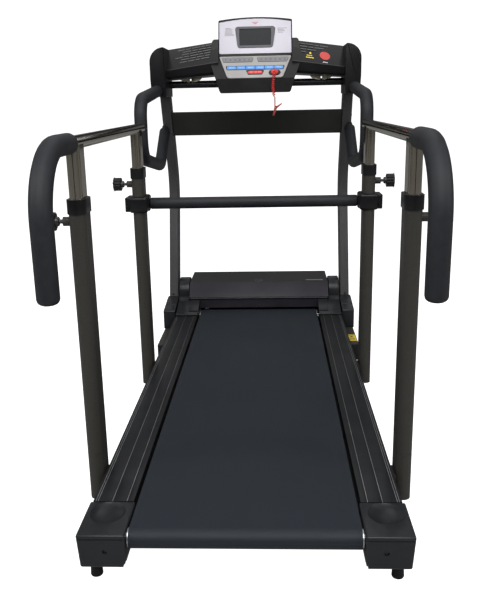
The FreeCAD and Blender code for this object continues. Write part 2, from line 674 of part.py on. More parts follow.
def console_housing():
    """Moulded body behind the display and the keypad, hollow under the keys."""
    sides = prism("YZ", [
        ("keypad_y + 4", "keypad_z - 58"), ("keypad_y + 2", "keypad_z - 2.4"),
        ("keypad_y + 112", "keypad_z + 85.8"), ("display_y + 4", "display_z - 3"),
        ("display_y + 31", "display_z + 62"), ("display_y + 105", "display_z + 62"),
        ("display_y + 125", "display_z - 26"), ("display_y + 105", "keypad_z - 50"),
    ], "-200", "400")
    front = prism("XZ", [
        ("-140", "keypad_z - 60"), ("140", "keypad_z - 60"), ("157", "keypad_z - 4"), ("183", "display_z - 34"),
        ("178", "display_z + 63"), ("-178", "display_z + 63"), ("-183", "display_z - 34"),
        ("-157", "keypad_z - 4"),
    ], "keypad_y - 50", "400")
    back = tilted("display", "-display_half - 2", "-6", "-housing_deep", "2 * display_half + 4",
                  "display_rise + 12", "housing_deep - sheet_thick")
    key_room = tilted("keypad", "-122", "16", "-20", "244", "62", "20")
    socket = peg("keypad", "safety_x", "safety_v", "-24", "socket_radius", "30")
    keep("console_housing", cut(fuse(common(sides, front), back), key_room, socket))


def display():
    """Silver display sheet with the screen's bezel and its glass."""
    panel = tilted("display", "-display_half", "0", "-sheet_thick", "2 * display_half", "display_rise",
                   "sheet_thick")
    frame = ("-84", "26", "0", "168", "92", "5")
    window = ("-66", "37", "-1", "132", "70", "8")
    keep("display_panel", panel)
    keep("screen_bezel", cut(tilted("display", *frame), tilted("display", *window)))
    keep("display_screen", tilted("display", "-66", "37", "0", "132", "70", "2"))


def keypad():
    """Keypad sheet with its raised quick-key strips and a hole for each key."""
    plate = prism("XY", [
        ("-keypad_foot_half", "0"), ("keypad_foot_half", "0"),
        ("keypad_top_half", "keypad_rise"), ("-keypad_top_half", "keypad_rise"),
    ], "-sheet_thick", "sheet_thick", y="keypad_y", z="keypad_z", tilt="keypad_tilt")
    strips = [tilted("keypad", x, "101", "0", "132", "26", "2") for x in ("-140", "8")]
    holes = [
        tilted("keypad", f"(key_pitch * {i - 2.5}) - key_wide / 2 - key_gap", "key_v - key_gap", "-5",
               "key_wide + 2 * key_gap", "key_tall + 2 * key_gap", "10")
        for i in range(6)
    ]
    holes.append(tilted("keypad", "-start_wide / 2 - key_gap", "start_v - key_gap", "-5",
                        "start_wide + 2 * key_gap", "start_tall + 2 * key_gap", "10"))
    holes.append(peg("keypad", "safety_x", "safety_v", "-5", "socket_radius", "10"))
    keep("keypad_panel", cut(fuse(plate, *strips), *holes))
    for i in range(6):
        keep(f"quick_key_{i + 1}", tilted("keypad", f"(key_pitch * {i - 2.5}) - key_wide / 2", "key_v",
                                          "key_proud - key_thick", "key_wide", "key_tall", "key_thick"))
    keep("start_stop_key", tilted("keypad", "-start_wide / 2", "start_v", "key_proud - key_thick",
                                  "start_wide", "start_tall", "key_thick"))


def safety_key():
    """Pull-out key: a cap on a stem that sits in the keypad's socket."""
    cap = peg("keypad", "safety_x", "safety_v", "belt_gap", "safety_radius", "safety_tall")
    stem = peg("keypad", "safety_x", "safety_v", "-18", "socket_radius - 0.1", "20")
    keep("safety_key", fuse(cap, stem))


def wings():
    """Console wings, lofted from the housing out to the pods, with their rounded pods."""
    body = new_body()
    stations = (
        ("wing_inner", [(1850, 1262), (1752, 1177), (1760, 1139), (1880, 1130), (1892, 1250)]),
        ("wing_outer", [(1846, 1232), (1756, 1147), (1764, 1120), (1880, 1114), (1888, 1222)]),
    )
    first, second = (outline(sketch_on(body, "YZ", x), corners) for x, corners in stations)
    loft = body.newObject("PartDesign::AdditiveLoft", "Loft")
    loft.Profile = first
    loft.Sections = [second]
    pod = prism("XZ", [
        ("wing_outer", "pod_bottom"), ("pod_outer", "pod_bottom"), ("pod_outer", "pod_top"),
        ("wing_outer", "pod_top"),
    ], "pod_back", "pod_front - pod_back")
    round_edges(pod, "pod_round", lambda edge: along(edge, "y") and edge.CenterOfMass.x > 400
                and edge.CenterOfMass.z > 1200)
    neck = block("upright_inner", "pod_back + 30", "pod_bottom - 1", "upright_wide", "pod_front - pod_back",
                 "neck_z - pod_bottom + 1")
    right = cut(fuse(body, pod), made("console_housing"), neck)
    keep("wing_right", right)
    keep("wing_left", mirror(right))


def pulse_grips():
    """Bars from the console to the uprights, with leaf-shaped plates that read the pulse."""
    rods = rod("x", "pulse_start", "pulse_y", "pulse_z", "pulse_radius", "wing_outer - pulse_start")
    bar = cut(rods, made("console_housing"))
    keep("pulse_bar", group(bar, mirror(bar)))
    plates = []
    for sign in ("-", "+"):
        inner = f"sensor_x {sign} sensor_gap"
        plate = cut(prism("XZ", [
            (inner, "sensor_z - sensor_rise"), (inner, "sensor_z + sensor_rise"),
            (f"{inner} {sign} sensor_half * 0.55", "sensor_z + sensor_rise * 0.7"),
            (f"{inner} {sign} sensor_half", "sensor_z"),
            (f"{inner} {sign} sensor_half * 0.55", "sensor_z - sensor_rise * 0.7"),
        ], "pulse_y - sensor_deep / 2", "sensor_deep"), rods)
        plates += [plate, mirror(plate)]
    keep("pulse_sensors", group(*plates))


def grip_loops(upright):
    """D-shaped handles in front of the uprights: a steel loop under thick foam."""
    pod = made("wing_right")
    core = cut(pipe("loop_x", LOOP_ROUTE, LOOP_BENDS, "loop_core"), upright, pod)
    foam = cut(pipe("loop_x", LOOP_FOAM_ROUTE, LOOP_BENDS, "loop_foam", "loop_core + foam_gap"), pod)
    keep("grip_loop_tubes", group(core, mirror(core)))
    keep("grip_foams", group(foam, mirror(foam)))


# ---- side handrails --------------------------------------------------------------------------

POSTS = ("rear", "front")


def outer_posts():
    """Flat-oval posts bolted to the rails, with a boss for each clamp knob and a collar on top."""
    tubes, collars = [], []
    for end in POSTS:
        y = f"{end}_post_y"
        post = oval("post_x", y, "post_bottom", "post_wide", "post_deep", "post_top - post_bottom")
        boss = rod("x", "post_x + post_wide / 2 - 2", y, "knob_z", "boss_radius", "boss_long")
        well = oval("post_x", y, "post_bottom + 4", "inner_wide + 2 * slide_gap", "inner_deep + 2 * slide_gap",
                    "post_top - post_bottom")
        stud_way = rod("x", "post_x", y, "knob_z", "stud_radius + running_gap", "80")
        groove = cut(
            oval("post_x", y, "seam_z", "post_wide + 2", "post_deep + 2", "1.2"),
            oval("post_x", y, "seam_z - 1", "post_wide - 1.6", "post_deep - 1.6", "4"),
        )
        bracket = block("rail_outer", f"{y} - 28", "rail_skirt + 4",
                        "post_x - post_wide / 2 - rail_outer + 3", "56", "44")
        tube = cut(fuse(post, boss, bracket), well, stud_way, groove)
        rim = oval("post_x", y, "post_top", "post_wide + 2 * collar_rim", "post_deep + 2 * collar_rim",
                   "collar_tall")
        collar = cut(rim, oval("post_x", y, "post_top - 1", "inner_wide + 2 * slide_gap",
                               "inner_deep + 2 * slide_gap", "collar_tall + 2"))
        tubes += [tube, mirror(tube)]
        collars += [collar, mirror(collar)]
    keep("outer_posts", group(*tubes))
    keep("post_collars", group(*collars))


def handrails():
    """Chrome rails on two inner posts each, with long foam grips at the rear."""
    front, top = number("handrail_front"), number("handrail_z")
    back, foot, start = number("handrail_back"), number("handrail_foot"), number("foam_start")
    bend = number("handrail_bend")
    rail = pipe("post_x", [(front, top), (back, top), (back, foot)], [bend], "handrail_radius")
    posts = [
        oval("post_x", f"{end}_post_y", "inner_foot", "inner_wide", "inner_deep", "handrail_z - inner_foot - 4")
        for end in POSTS
    ]
    wells = [
        oval("post_x", f"{end}_post_y", "inner_foot - 1", "inner_wide - 2 * tube_wall",
             "inner_deep - 2 * tube_wall", "handrail_z - handrail_radius - inner_foot")
        for end in POSTS
    ]
    right = cut(fuse(rail, *posts), *wells)
    keep("handrail_right", right)
    keep("handrail_left", mirror(right))
    sleeve = pipe("post_x", [(start, top), (back, top), (back, foot)], [bend], "foam_radius",
                  "handrail_radius + foam_gap")
    tip = rod("z", "post_x", "handrail_back", "foam_foot", "foam_radius", "handrail_foot - foam_foot")
    foam = fuse(sleeve, tip)
    keep("handrail_foam_right", foam)
    keep("handrail_foam_left", mirror(foam))


def front_bar():
    """Padded bar across the front posts, held by a sliding clamp on each."""
    y = "front_post_y"
    bar = rod("x", "-clamp_inner", y, "bar_z", "bar_radius", "2 * clamp_inner")
    keep("front_bar", bar)
    body = block("clamp_inner", f"{y} - clamp_deep / 2", "clamp_bottom", "clamp_outer - clamp_inner",
                 "clamp_deep", "clamp_tall")
    way = oval("post_x", y, "clamp_bottom - 1", "post_wide + 2 * slide_gap", "post_deep + 2 * slide_gap",
               "clamp_tall + 2")
    split = block("post_x + post_wide / 2 - 2", f"{y} - 1.5", "clamp_bottom - 1", "60", "3", "clamp_tall + 2")
    right = cut(body, way, split)
    keep("front_bar_clamps", group(right, mirror(right)))


def lock_knobs():
    """Fluted knobs whose studs run through the bosses to the inner posts."""
    for end in POSTS:
        y = f"{end}_post_y"
        head = rod("x", "knob_x", y, "knob_z", "knob_radius", "knob_long")
        flange = rod("x", "knob_x - 8", y, "knob_z", "boss_radius", "8")
        tip = "post_x + inner_wide / 2 + slide_gap"
        stud = rod("x", tip, y, "knob_z", "stud_radius", f"knob_x - ({tip})")
        flutes = [
            rod("x", "knob_x - 1", f"{y} + (knob_radius + 1) * cos({turn}deg)",
                f"knob_z + (knob_radius + 1) * sin({turn}deg)", "flute_radius", "knob_long + 2")
            for turn in range(0, 360, 30)
        ]
        right = cut(fuse(head, flange, stud), *flutes)
        keep(f"lock_knob_{end}_right", right)
        keep(f"lock_knob_{end}_left", mirror(right))


def rear_feet():
    """Rubber feet under the brackets at the rear end of the deck's tubes."""
    pad = rod("z", "foot_x", "foot_back", "0", "14", "cap_bottom - 2")
    screw = rod("z", "foot_x", "foot_back", "cap_bottom - 2", "5", "4")
    right = fuse(pad, screw)
    keep("rear_feet", group(right, mirror(right)))


# ---- lanyard ---------------------------------------------------------------------------------

def lanyard():
    """A wound cord's outer shape, from the safety key's cap to the clip."""
    spots = [App.Vector(*spot) for spot in LANYARD_ROUTE]
    radii = []
    for before, here, after in zip(spots, spots[1:], spots[2:]):
        turn = (here - before).getAngle(after - here)
        radii.append(0.45 * min((here - before).Length, (after - here).Length) / math.tan(turn / 2))
    path = Part.Wire([edge.toShape() for edge in rounded_route(spots, radii)])
    profile = Part.Wire([Part.Circle(spots[0], spots[1] - spots[0], number("lanyard_radius")).toShape()])
    tube = path.makePipeShell([profile], True, True)
    expected = math.pi * number("lanyard_radius") ** 2 * path.Length
    print("lanyard", round(path.Length, 1), "mm long, radii", [round(r, 1) for r in radii],
          "volume ratio", round(tube.Volume / expected, 4))
    cord = doc.addObject("Part::Feature", "Lanyard")
    cord.Shape = tube
    keep("lanyard", place(cord, "0", "0", "0"))


def clip():
    """Garment clip: a fixed arm that hangs from the cord, and a sprung lever on a pin."""
    y = "clip_y - clip_half - clip_ear - 0.2"
    arm = prism("XZ", [("76", "1034"), ("80.5", "1034"), ("80.5", "996"), ("71.8", "963"), ("68.8", "963"),
                       ("76", "996")], y, "2 * clip_half + 2 * clip_ear + 0.4")
    ears = [
        prism("XZ", [("80.5", "1000"), ("80.5", "990"), ("86", "990"), ("86", "1000")], at, "clip_ear")
        for at in (y, "clip_y + clip_half + 0.2")
    ]
    pin = rod("y", "83", y, "995", "clip_pin", "2 * clip_half + 2 * clip_ear + 0.4")
    keep("lanyard_clip", fuse(arm, *ears, pin))
    lever = prism("XZ", [("80.9", "996"), ("72.3", "963"), ("75.4", "963"), ("86", "990"), ("107", "1008"),
                         ("105", "1010.5"), ("84", "998.5")], "clip_y - clip_half", "2 * clip_half")
    keep("clip_lever", cut(lever, rod("y", "83", "clip_y - clip_half - 1", "995", "clip_pin + running_gap",
                                      "2 * clip_half + 2")))


for build in (
    side_rails, rear_caps, rail_front_caps, deck_frame, deck_board, deck_cushions, running_belt, rollers, motor,
    drive_belt, base_frame, incline_frame, actuator, motor_cover, corner_covers, cross_panel, frame_bolts,
    console_housing, display, keypad, safety_key, wings, pulse_grips, outer_posts, handrails, front_bar,
    lock_knobs, rear_feet, lanyard, clip,
):
    build()
grip_loops(uprights())
doc.recompute()

for thing in doc.Objects:
    if {"Invalid", "Error"} & set(thing.State):
        raise SystemExit(f"{thing.Label} could not be made: {thing.State}")
for name, thing in NODES:
    if thing.Shape.isNull() or not thing.Shape.isValid() or not thing.Shape.Solids:
        raise SystemExit(f"{name} has no valid solid")

os.makedirs("parts", exist_ok=True)
for name, thing in NODES:
    thing.Shape.exportStep(f"parts/{name}.step")
print(len(NODES), "nodes")
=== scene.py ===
"""Walking treadmill with long side handrails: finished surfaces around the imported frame.

Metres, +X to the walker's right, +Y towards the console, +Z up, the origin on the floor at mid-length.
"""
import math
import bmesh
import bpy
from mathutils import Matrix, Vector


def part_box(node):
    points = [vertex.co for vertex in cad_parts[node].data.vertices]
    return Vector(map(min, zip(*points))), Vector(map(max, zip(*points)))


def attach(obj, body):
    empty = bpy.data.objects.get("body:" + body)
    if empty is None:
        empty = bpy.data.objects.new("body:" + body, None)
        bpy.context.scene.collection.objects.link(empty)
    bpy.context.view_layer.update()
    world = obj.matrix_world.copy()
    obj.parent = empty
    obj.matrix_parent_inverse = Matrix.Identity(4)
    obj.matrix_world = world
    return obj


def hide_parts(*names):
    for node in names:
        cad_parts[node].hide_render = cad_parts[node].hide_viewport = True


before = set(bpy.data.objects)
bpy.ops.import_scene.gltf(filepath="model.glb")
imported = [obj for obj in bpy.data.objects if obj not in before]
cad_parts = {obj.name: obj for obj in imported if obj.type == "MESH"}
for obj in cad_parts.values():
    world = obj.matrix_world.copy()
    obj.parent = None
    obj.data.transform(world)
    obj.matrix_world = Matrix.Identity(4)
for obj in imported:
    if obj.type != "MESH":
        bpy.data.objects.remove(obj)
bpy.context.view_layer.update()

bl_info = {
    "name": "Walking treadmill",
    "version": (1, 0, 0),
    "blender": (4, 5, 0),
    "location": "View3D > Sidebar > Treadmill",
    "description": "Builds the finished surfaces of a walking treadmill around its packed frame",
    "category": "Object",
}

MM = 0.001
HALF_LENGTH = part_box("base_frame")[1].y


def from_back(y):
    """A distance from the rear end caps in millimetres, as a y of the model."""
    return y * MM - HALF_LENGTH


# ---- settings --------------------------------------------------------------------------------

class TreadmillSizes(bpy.types.PropertyGroup):
    foam_radius: bpy.props.FloatProperty(
        name="Handrail foam", description="Outer radius of the foam on the handrails", default=24 * MM,
        unit="LENGTH")
    loop_radius: bpy.props.FloatProperty(
        name="Loop foam", description="Outer radius of the foam on the grip loops", default=23 * MM,
        unit="LENGTH")
    strand_radius: bpy.props.FloatProperty(
        name="Lanyard strand", description="Radius of the wound cord itself", default=1.6 * MM, unit="LENGTH")
    coil_radius: bpy.props.FloatProperty(
        name="Lanyard coil", description="Radius of the coil's middle line", default=5.2 * MM, unit="LENGTH")


class TreadmillColours(bpy.types.PropertyGroup):
    enamel: bpy.props.FloatVectorProperty(
        name="Post enamel", description="Hammered enamel of the posts", subtype="COLOR", size=4,
        default=(0.026, 0.025, 0.022, 1))
    black: bpy.props.FloatVectorProperty(
        name="Black plastic", description="Moulded covers", subtype="COLOR", size=4,
        default=(0.008, 0.008, 0.009, 1))
    belt: bpy.props.FloatVectorProperty(
        name="Walking belt", description="Woven belt", subtype="COLOR", size=4,
        default=(0.013, 0.018, 0.025, 1))
    silver: bpy.props.FloatVectorProperty(
        name="Silver overlay", description="Console sheets", subtype="COLOR", size=4,
        default=(0.56, 0.54, 0.60, 1))
    blue: bpy.props.FloatVectorProperty(
        name="Quick keys", description="Blue key caps", subtype="COLOR", size=4,
        default=(0.10, 0.30, 0.72, 1))
    red: bpy.props.FloatVectorProperty(
        name="Red parts", description="Start key, safety key and cord", subtype="COLOR", size=4,
        default=(0.62, 0.035, 0.03, 1))


def sizes():
    return bpy.context.scene.treadmill_sizes


def colours():
    return bpy.context.scene.treadmill_colours


# ---- node groups for surface effects ---------------------------------------------------------

def new_group(name, inputs, outputs):
    """An empty shader group with float inputs and outputs, and its two end nodes."""
    group = bpy.data.node_groups.new(name, "ShaderNodeTree")
    for label, value in inputs:
        socket = group.interface.new_socket(name=label, in_out="INPUT", socket_type="NodeSocketFloat")
        socket.default_value = value
    for label in outputs:
        group.interface.new_socket(name=label, in_out="OUTPUT", socket_type="NodeSocketFloat")
    return group, group.nodes.new("NodeGroupInput"), group.nodes.new("NodeGroupOutput")


def add_node(tree, kind, **settings):
    node = tree.nodes.new("ShaderNode" + kind)
    for key, value in settings.items():
        setattr(node, key, value)
    return node


def wire(tree, source, target):
    tree.links.new(source, target)


def math_node(tree, operation, first, second=None, third=None):
    node = add_node(tree, "Math", operation=operation)
    for socket, value in zip(node.inputs, (first, second, third)):
        if value is None:
            continue
        if hasattr(value, "is_output"):
            wire(tree, value, socket)
        else:
            socket.default_value = value
    return node.outputs[0]


def object_coordinates(tree, stretch=(1, 1, 1), turn=(0, 0, 0)):
    place = add_node(tree, "TexCoord")
    mapping = add_node(tree, "Mapping")
    mapping.inputs["Scale"].default_value = stretch
    mapping.inputs["Rotation"].default_value = [math.radians(angle) for angle in turn]
    wire(tree, place.outputs["Object"], mapping.inputs["Vector"])
    return mapping.outputs["Vector"]


def noise(tree, vector, scale, detail=3.0, roughness=0.5):
    node = add_node(tree, "TexNoise")
    wire(tree, vector, node.inputs["Vector"])
    for label, value in (("Scale", scale), ("Detail", detail), ("Roughness", roughness)):
        if hasattr(value, "is_output"):
            wire(tree, value, node.inputs[label])
        else:
            node.inputs[label].default_value = value
    return node.outputs["Fac"]


def grain_group():
    """Fine moulded grain: a height, and a slow patchiness for handling marks."""
    group, start, end = new_group("Moulded grain", [("Scale", 900)], ["Height", "Patches"])
    spot = object_coordinates(group)
    wire(group, noise(group, spot, start.outputs["Scale"], 2.0, 0.6), end.inputs["Height"])
    wire(group, noise(group, spot, 9.0, 4.0, 0.6), end.inputs["Patches"])
    return group


def hammer_group():
    """Hammered enamel: shallow cells a few millimetres across with raised rims."""
    group, start, end = new_group("Hammered enamel", [("Scale", 260)], ["Height", "Shade"])
    spot = object_coordinates(group)
    cells = add_node(group, "TexVoronoi", feature="SMOOTH_F1")
    wire(group, spot, cells.inputs["Vector"])
    wire(group, start.outputs["Scale"], cells.inputs["Scale"])
    cells.inputs["Smoothness"].default_value = 0.7
    wire(group, cells.outputs["Distance"], end.inputs["Height"])
    cloud = noise(group, spot, 420.0, 3.0, 0.65)
    wire(group, math_node(group, "MULTIPLY_ADD", cells.outputs["Distance"], 0.5, cloud), end.inputs["Shade"])
    return group


def foam_group():
    """Closed-cell foam skin: tiny pits and a soft mottling."""
    group, start, end = new_group("Foam skin", [("Scale", 1300)], ["Height", "Shade"])
    spot = object_coordinates(group)
    pits = add_node(group, "TexVoronoi", feature="F1")
    wire(group, spot, pits.inputs["Vector"])
    wire(group, start.outputs["Scale"], pits.inputs["Scale"])
    wire(group, pits.outputs["Distance"], end.inputs["Height"])
    wire(group, noise(group, spot, 60.0, 5.0, 0.7), end.inputs["Shade"])
    return group


def weave_group():
    """Diamond weave of the walking belt, with slow streaks of uneven wear along its length."""
    group, start, end = new_group("Belt weave", [("Pitch", 420)], ["Height", "Shade"])
    ridges = []
    for turn in (45, -45):
        wave = add_node(group, "TexWave", wave_type="BANDS", bands_direction="X", wave_profile="SIN")
        wire(group, object_coordinates(group, turn=(0, 0, turn)), wave.inputs["Vector"])
        wire(group, start.outputs["Pitch"], wave.inputs["Scale"])
        ridges.append(wave.outputs["Fac"])
    wire(group, math_node(group, "MULTIPLY", *ridges), end.inputs["Height"])
    slow = noise(group, object_coordinates(group, stretch=(3, 0.6, 1)), 3.0, 4.0, 0.6)
    wire(group, slow, end.inputs["Shade"])
    return group


def brushed_group():
    """Fine lines that run along one axis of the part."""
    group, start, end = new_group("Drawn lines", [("Scale", 30)], ["Height", "Shade"])
    lines = noise(group, object_coordinates(group, stretch=(40, 1, 40)), start.outputs["Scale"], 3.0, 0.6)
    wire(group, lines, end.inputs["Height"])
    wire(group, noise(group, object_coordinates(group), 14.0, 4.0, 0.6), end.inputs["Shade"])
    return group


GROUPS = {}


def effect(tree, name, **values):
    """One of the shared groups, placed in a material with its own values."""
    makers = {"grain": grain_group, "hammer": hammer_group, "foam": foam_group, "weave": weave_group,
              "brushed": brushed_group}
    if name not in GROUPS:
        GROUPS[name] = makers[name]()
    node = add_node(tree, "Group")
    node.node_tree = GROUPS[name]
    for label, value in values.items():
        node.inputs[label].default_value = value
    return node


# ---- materials -------------------------------------------------------------------------------

MATERIALS = {}


def blank_material(name, roughness, metallic=0.0, coat=0.0, **sockets):
    material = bpy.data.materials.new(name)
    material.use_nodes = True
    shader = material.node_tree.nodes["Principled BSDF"]
    shader.inputs["Roughness"].default_value = roughness
    shader.inputs["Metallic"].default_value = metallic
    shader.inputs["Coat Weight"].default_value = coat
    for label, value in sockets.items():
        shader.inputs[label.replace("_", " ")].default_value = value
    MATERIALS[name] = material
    return material.node_tree, shader


def shade_between(tree, shader, mask, dark, light, low=0.3, high=0.7):
    """Base colour that runs from dark to light with a mask."""
    ramp = add_node(tree, "ValToRGB")
    ramp.color_ramp.elements[0].position = low
    ramp.color_ramp.elements[1].position = high
    ramp.color_ramp.elements[0].color = dark
    ramp.color_ramp.elements[1].color = light
    wire(tree, mask, ramp.inputs["Fac"])
    wire(tree, ramp.outputs["Color"], shader.inputs["Base Color"])
    return ramp


def roughen(tree, shader, mask, low, high):
    spread = add_node(tree, "MapRange")
    spread.inputs["To Min"].default_value = low
    spread.inputs["To Max"].default_value = high
    wire(tree, mask, spread.inputs["Value"])
    wire(tree, spread.outputs["Result"], shader.inputs["Roughness"])


def emboss(tree, shader, height, depth, strength=1.0):
    bump = add_node(tree, "Bump")
    bump.inputs["Strength"].default_value = strength
    bump.inputs["Distance"].default_value = depth
    wire(tree, height, bump.inputs["Height"])
    wire(tree, bump.outputs["Normal"], shader.inputs["Normal"])


def tint(colour, factor):
    return (*(min(1.0, channel * factor) for channel in colour[:3]), 1)


def plain_finish(name, colour, low, high, effect_name="grain", depth=0.05, scale=900, spread=0.35, **more):
    """A finish with a grain depth mm deep, a little colour variation and uneven gloss."""
    tree, shader = blank_material(name, (low + high) / 2, **more)
    marks = effect(tree, effect_name, Scale=scale)
    slow = marks.outputs[1]
    shade_between(tree, shader, slow, tint(colour, 1 - spread), tint(colour, 1 + spread))
    roughen(tree, shader, slow, low, high)
    emboss(tree, shader, marks.outputs["Height"], depth * MM)


def belt_material(colour):
    tree, shader = blank_material("woven_belt", 0.55, Specular_IOR_Level=0.3)
    weave = effect(tree, "weave", Pitch=230)
    shade_between(tree, shader, weave.outputs["Height"], tint(colour, 0.6), tint(colour, 1.7), 0.1, 0.8)
    roughen(tree, shader, weave.outputs["Shade"], 0.45, 0.62)
    emboss(tree, shader, weave.outputs["Height"], 0.35 * MM, 0.8)


def rail_material():
    """Black anodised extrusion with fine drawn lines."""
    tree, shader = blank_material("anodised_rail", 0.35, 0.3, Specular_IOR_Level=0.3)
    lines = effect(tree, "brushed", Scale=30)
    shade_between(tree, shader, lines.outputs["Shade"], (0.007, 0.008, 0.009, 1), (0.014, 0.015, 0.017, 1))
    roughen(tree, shader, lines.outputs["Height"], 0.34, 0.5)
    emboss(tree, shader, lines.outputs["Height"], 0.03 * MM)


def make_materials():
    """Every finish: colour, gloss range, effect, grain depth in mm, grain scale and colour spread."""
    paint = colours()
    dim = {"Specular_IOR_Level": 0.25}
    plain_finish("hammertone_enamel", paint.enamel, 0.36, 0.52, "hammer", 0.20, 300, 0.35, **dim)
    plain_finish("upright_enamel", (0.042, 0.040, 0.042, 1), 0.36, 0.5, "hammer", 0.08, 420, 0.2, **dim)
    plain_finish("panel_enamel", (0.014, 0.015, 0.012, 1), 0.36, 0.5, "hammer", 0.06, 420, 0.25, **dim)
    plain_finish("black_powder_coat", (0.012, 0.012, 0.013, 1), 0.40, 0.55, "grain", 0.06, 1100, 0.3, **dim)
    plain_finish("moulded_black", paint.black, 0.36, 0.5, "grain", 0.05, 1500, 0.3, **dim)
    plain_finish("satin_black", (0.012, 0.013, 0.015, 1), 0.28, 0.40, "grain", 0.04, 1500, 0.25,
                 coat=0.08, **dim)
    # Lighter purple-grey copy of the cover's black: painted sheen on every hood face except its top.
    plain_finish("hood_painted_sheen_satin", (0.022, 0.020, 0.026, 1), 0.32, 0.44, "grain", 0.04, 1500, 0.2, **dim)
    plain_finish("gloss_black", (0.006, 0.006, 0.007, 1), 0.24, 0.34, "grain", 0.003, 1500, 0.25, **dim)
    plain_finish("cell_foam", (0.009, 0.010, 0.013, 1), 0.50, 0.66, "foam", 0.10, 1500, 0.3,
                 Specular_IOR_Level=0.35)
    plain_finish("moulded_rubber", (0.010, 0.010, 0.010, 1), 0.55, 0.75, "grain", 0.08, 700, 0.3, **dim)
    plain_finish("polished_chrome", (0.50, 0.46, 0.38, 1), 0.05, 0.14, "brushed", 0.004, 20, 0.10,
                 metallic=1.0)
    plain_finish("turned_steel", (0.42, 0.42, 0.43, 1), 0.24, 0.40, "brushed", 0.02, 30, 0.15, metallic=1.0)
    plain_finish("black_steel", (0.05, 0.05, 0.052, 1), 0.26, 0.40, "grain", 0.02, 900, 0.2, metallic=0.6)
    plain_finish("waxed_board", (0.09, 0.055, 0.03, 1), 0.4, 0.55, "grain", 0.05, 300, 0.4)
    plain_finish("silver_overlay", paint.silver, 0.38, 0.5, "grain", 0.015, 1400, 0.05, metallic=0.1, **dim)
    plain_finish("keypad_silver", (0.36, 0.35, 0.34, 1), 0.38, 0.5, "grain", 0.015, 1400, 0.08,
                 metallic=0.1, **dim)
    plain_finish("bezel_grey", (0.10, 0.10, 0.11, 1), 0.32, 0.45, "grain", 0.02, 1400, 0.15, **dim)
    plain_finish("screen_glass", (0.016, 0.018, 0.019, 1), 0.10, 0.18, "grain", 0.002, 200, 0.2,
                 Specular_IOR_Level=0.1)
    plain_finish("strip_grey", (0.19, 0.19, 0.20, 1), 0.32, 0.45, "grain", 0.02, 1400, 0.08)
    plain_finish("blue_key_plastic", paint.blue, 0.24, 0.36, "grain", 0.02, 1200, 0.10)
    plain_finish("red_key_plastic", paint.red, 0.24, 0.36, "grain", 0.02, 1200, 0.12)
    plain_finish("red_metal", (0.34, 0.045, 0.035, 1), 0.28, 0.42, "grain", 0.02, 1200, 0.2, metallic=0.2)
    plain_finish("wound_red_cord", (0.60, 0.03, 0.025, 1), 0.4, 0.6, "foam", 0.10, 2200, 0.25)
    # Near-black plastic for screws and key beds, also used as painted shade in the hood vents and under the
    # keypad strips.
    plain_finish("dark_plastic_and_painted_shade", (0.014, 0.014, 0.016, 1), 0.34, 0.48, "grain", 0.03, 1200, 0.25, **dim)
    for name, shade in (
        ("ink_white", (0.60, 0.60, 0.61, 1)), ("ink_faint", (0.10, 0.10, 0.105, 1)),
        ("ink_grey", (0.16, 0.16, 0.17, 1)), ("ink_dark", (0.03, 0.03, 0.035, 1)),
        ("ink_yellow", (0.75, 0.55, 0.04, 1)), ("ink_red", (0.55, 0.06, 0.05, 1)),
        ("ink_blue_light", (0.45, 0.62, 0.85, 1)), ("ink_red_light", (0.80, 0.35, 0.33, 1)),
    ):
        plain_finish(name, shade, 0.4, 0.52, "grain", 0.01, 900, 0.12)
    # Light grey metallic strips in the rail grooves and under the hood's overhang: painted highlights.
    plain_finish("painted_highlight_lines", (0.26, 0.26, 0.27, 1), 0.26, 0.44, "brushed", 0.01, 30, 0.2, metallic=0.7)
    belt_material(paint.belt)
    rail_material()


# ---- modelling helpers -----------------------------------------------------------------------

def deselect():
    if bpy.context.object and bpy.context.object.mode != "OBJECT":
        bpy.ops.object.mode_set(mode="OBJECT")
    bpy.ops.object.select_all(action="DESELECT")


def activate(piece):
    deselect()
    piece.select_set(True)
    bpy.context.view_layer.objects.active = piece


def settle(piece):
    """Put a piece's place, turn and scale into its mesh."""
    activate(piece)
    bpy.ops.object.transform_apply(location=True, rotation=True, scale=True)


def in_edit(piece, kind, test):
    """Edit mode on a piece, with only its faces, edges or vertices that pass the test selected."""
    activate(piece)
    bpy.ops.object.mode_set(mode="EDIT")
    bpy.ops.mesh.select_mode(type=kind)
    bpy.ops.mesh.select_all(action="DESELECT")
    mesh = bmesh.from_edit_mesh(piece.data)
    found = {"VERT": mesh.verts, "EDGE": mesh.edges, "FACE": mesh.faces}[kind]
    for item in found:
        if test(item):
            item.select_set(True)
    mesh.select_flush_mode()
    bmesh.update_edit_mesh(piece.data)


def out_of_edit():
    bpy.ops.object.mode_set(mode="OBJECT")


def apply_modifiers(piece):
    activate(piece)
    for modifier in list(piece.modifiers):
        bpy.ops.object.modifier_apply(modifier=modifier.name)


def bevel(piece, width, segments=3, angle=35):
    modifier = piece.modifiers.new("Round edges", "BEVEL")
    modifier.width = width
    modifier.segments = segments
    modifier.limit_method = "ANGLE"
    modifier.angle_limit = math.radians(angle)
    modifier.use_clamp_overlap = True
    modifier.miter_outer = "MITER_ARC"
    apply_modifiers(piece)
    smooth(piece)


def smooth(piece, angle=40):
    activate(piece)
    bpy.ops.object.shade_smooth_by_angle(angle=math.radians(angle))


def fix_normals(piece):
    activate(piece)
    bpy.ops.object.mode_set(mode="EDIT")
    bpy.ops.mesh.select_all(action="SELECT")
    bpy.ops.mesh.remove_doubles(threshold=1e-6)
    bpy.ops.mesh.normals_make_consistent(inside=False)
    out_of_edit()


def give(piece, body, slot, material, *replaced):
    """Material, ride and the CAD nodes that the piece stands for. The slot argument is not used."""
    piece.data.materials.clear()
    piece.data.materials.append(MATERIALS[material])
    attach(piece, body)
    if replaced:
        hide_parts(*replaced)
    return piece


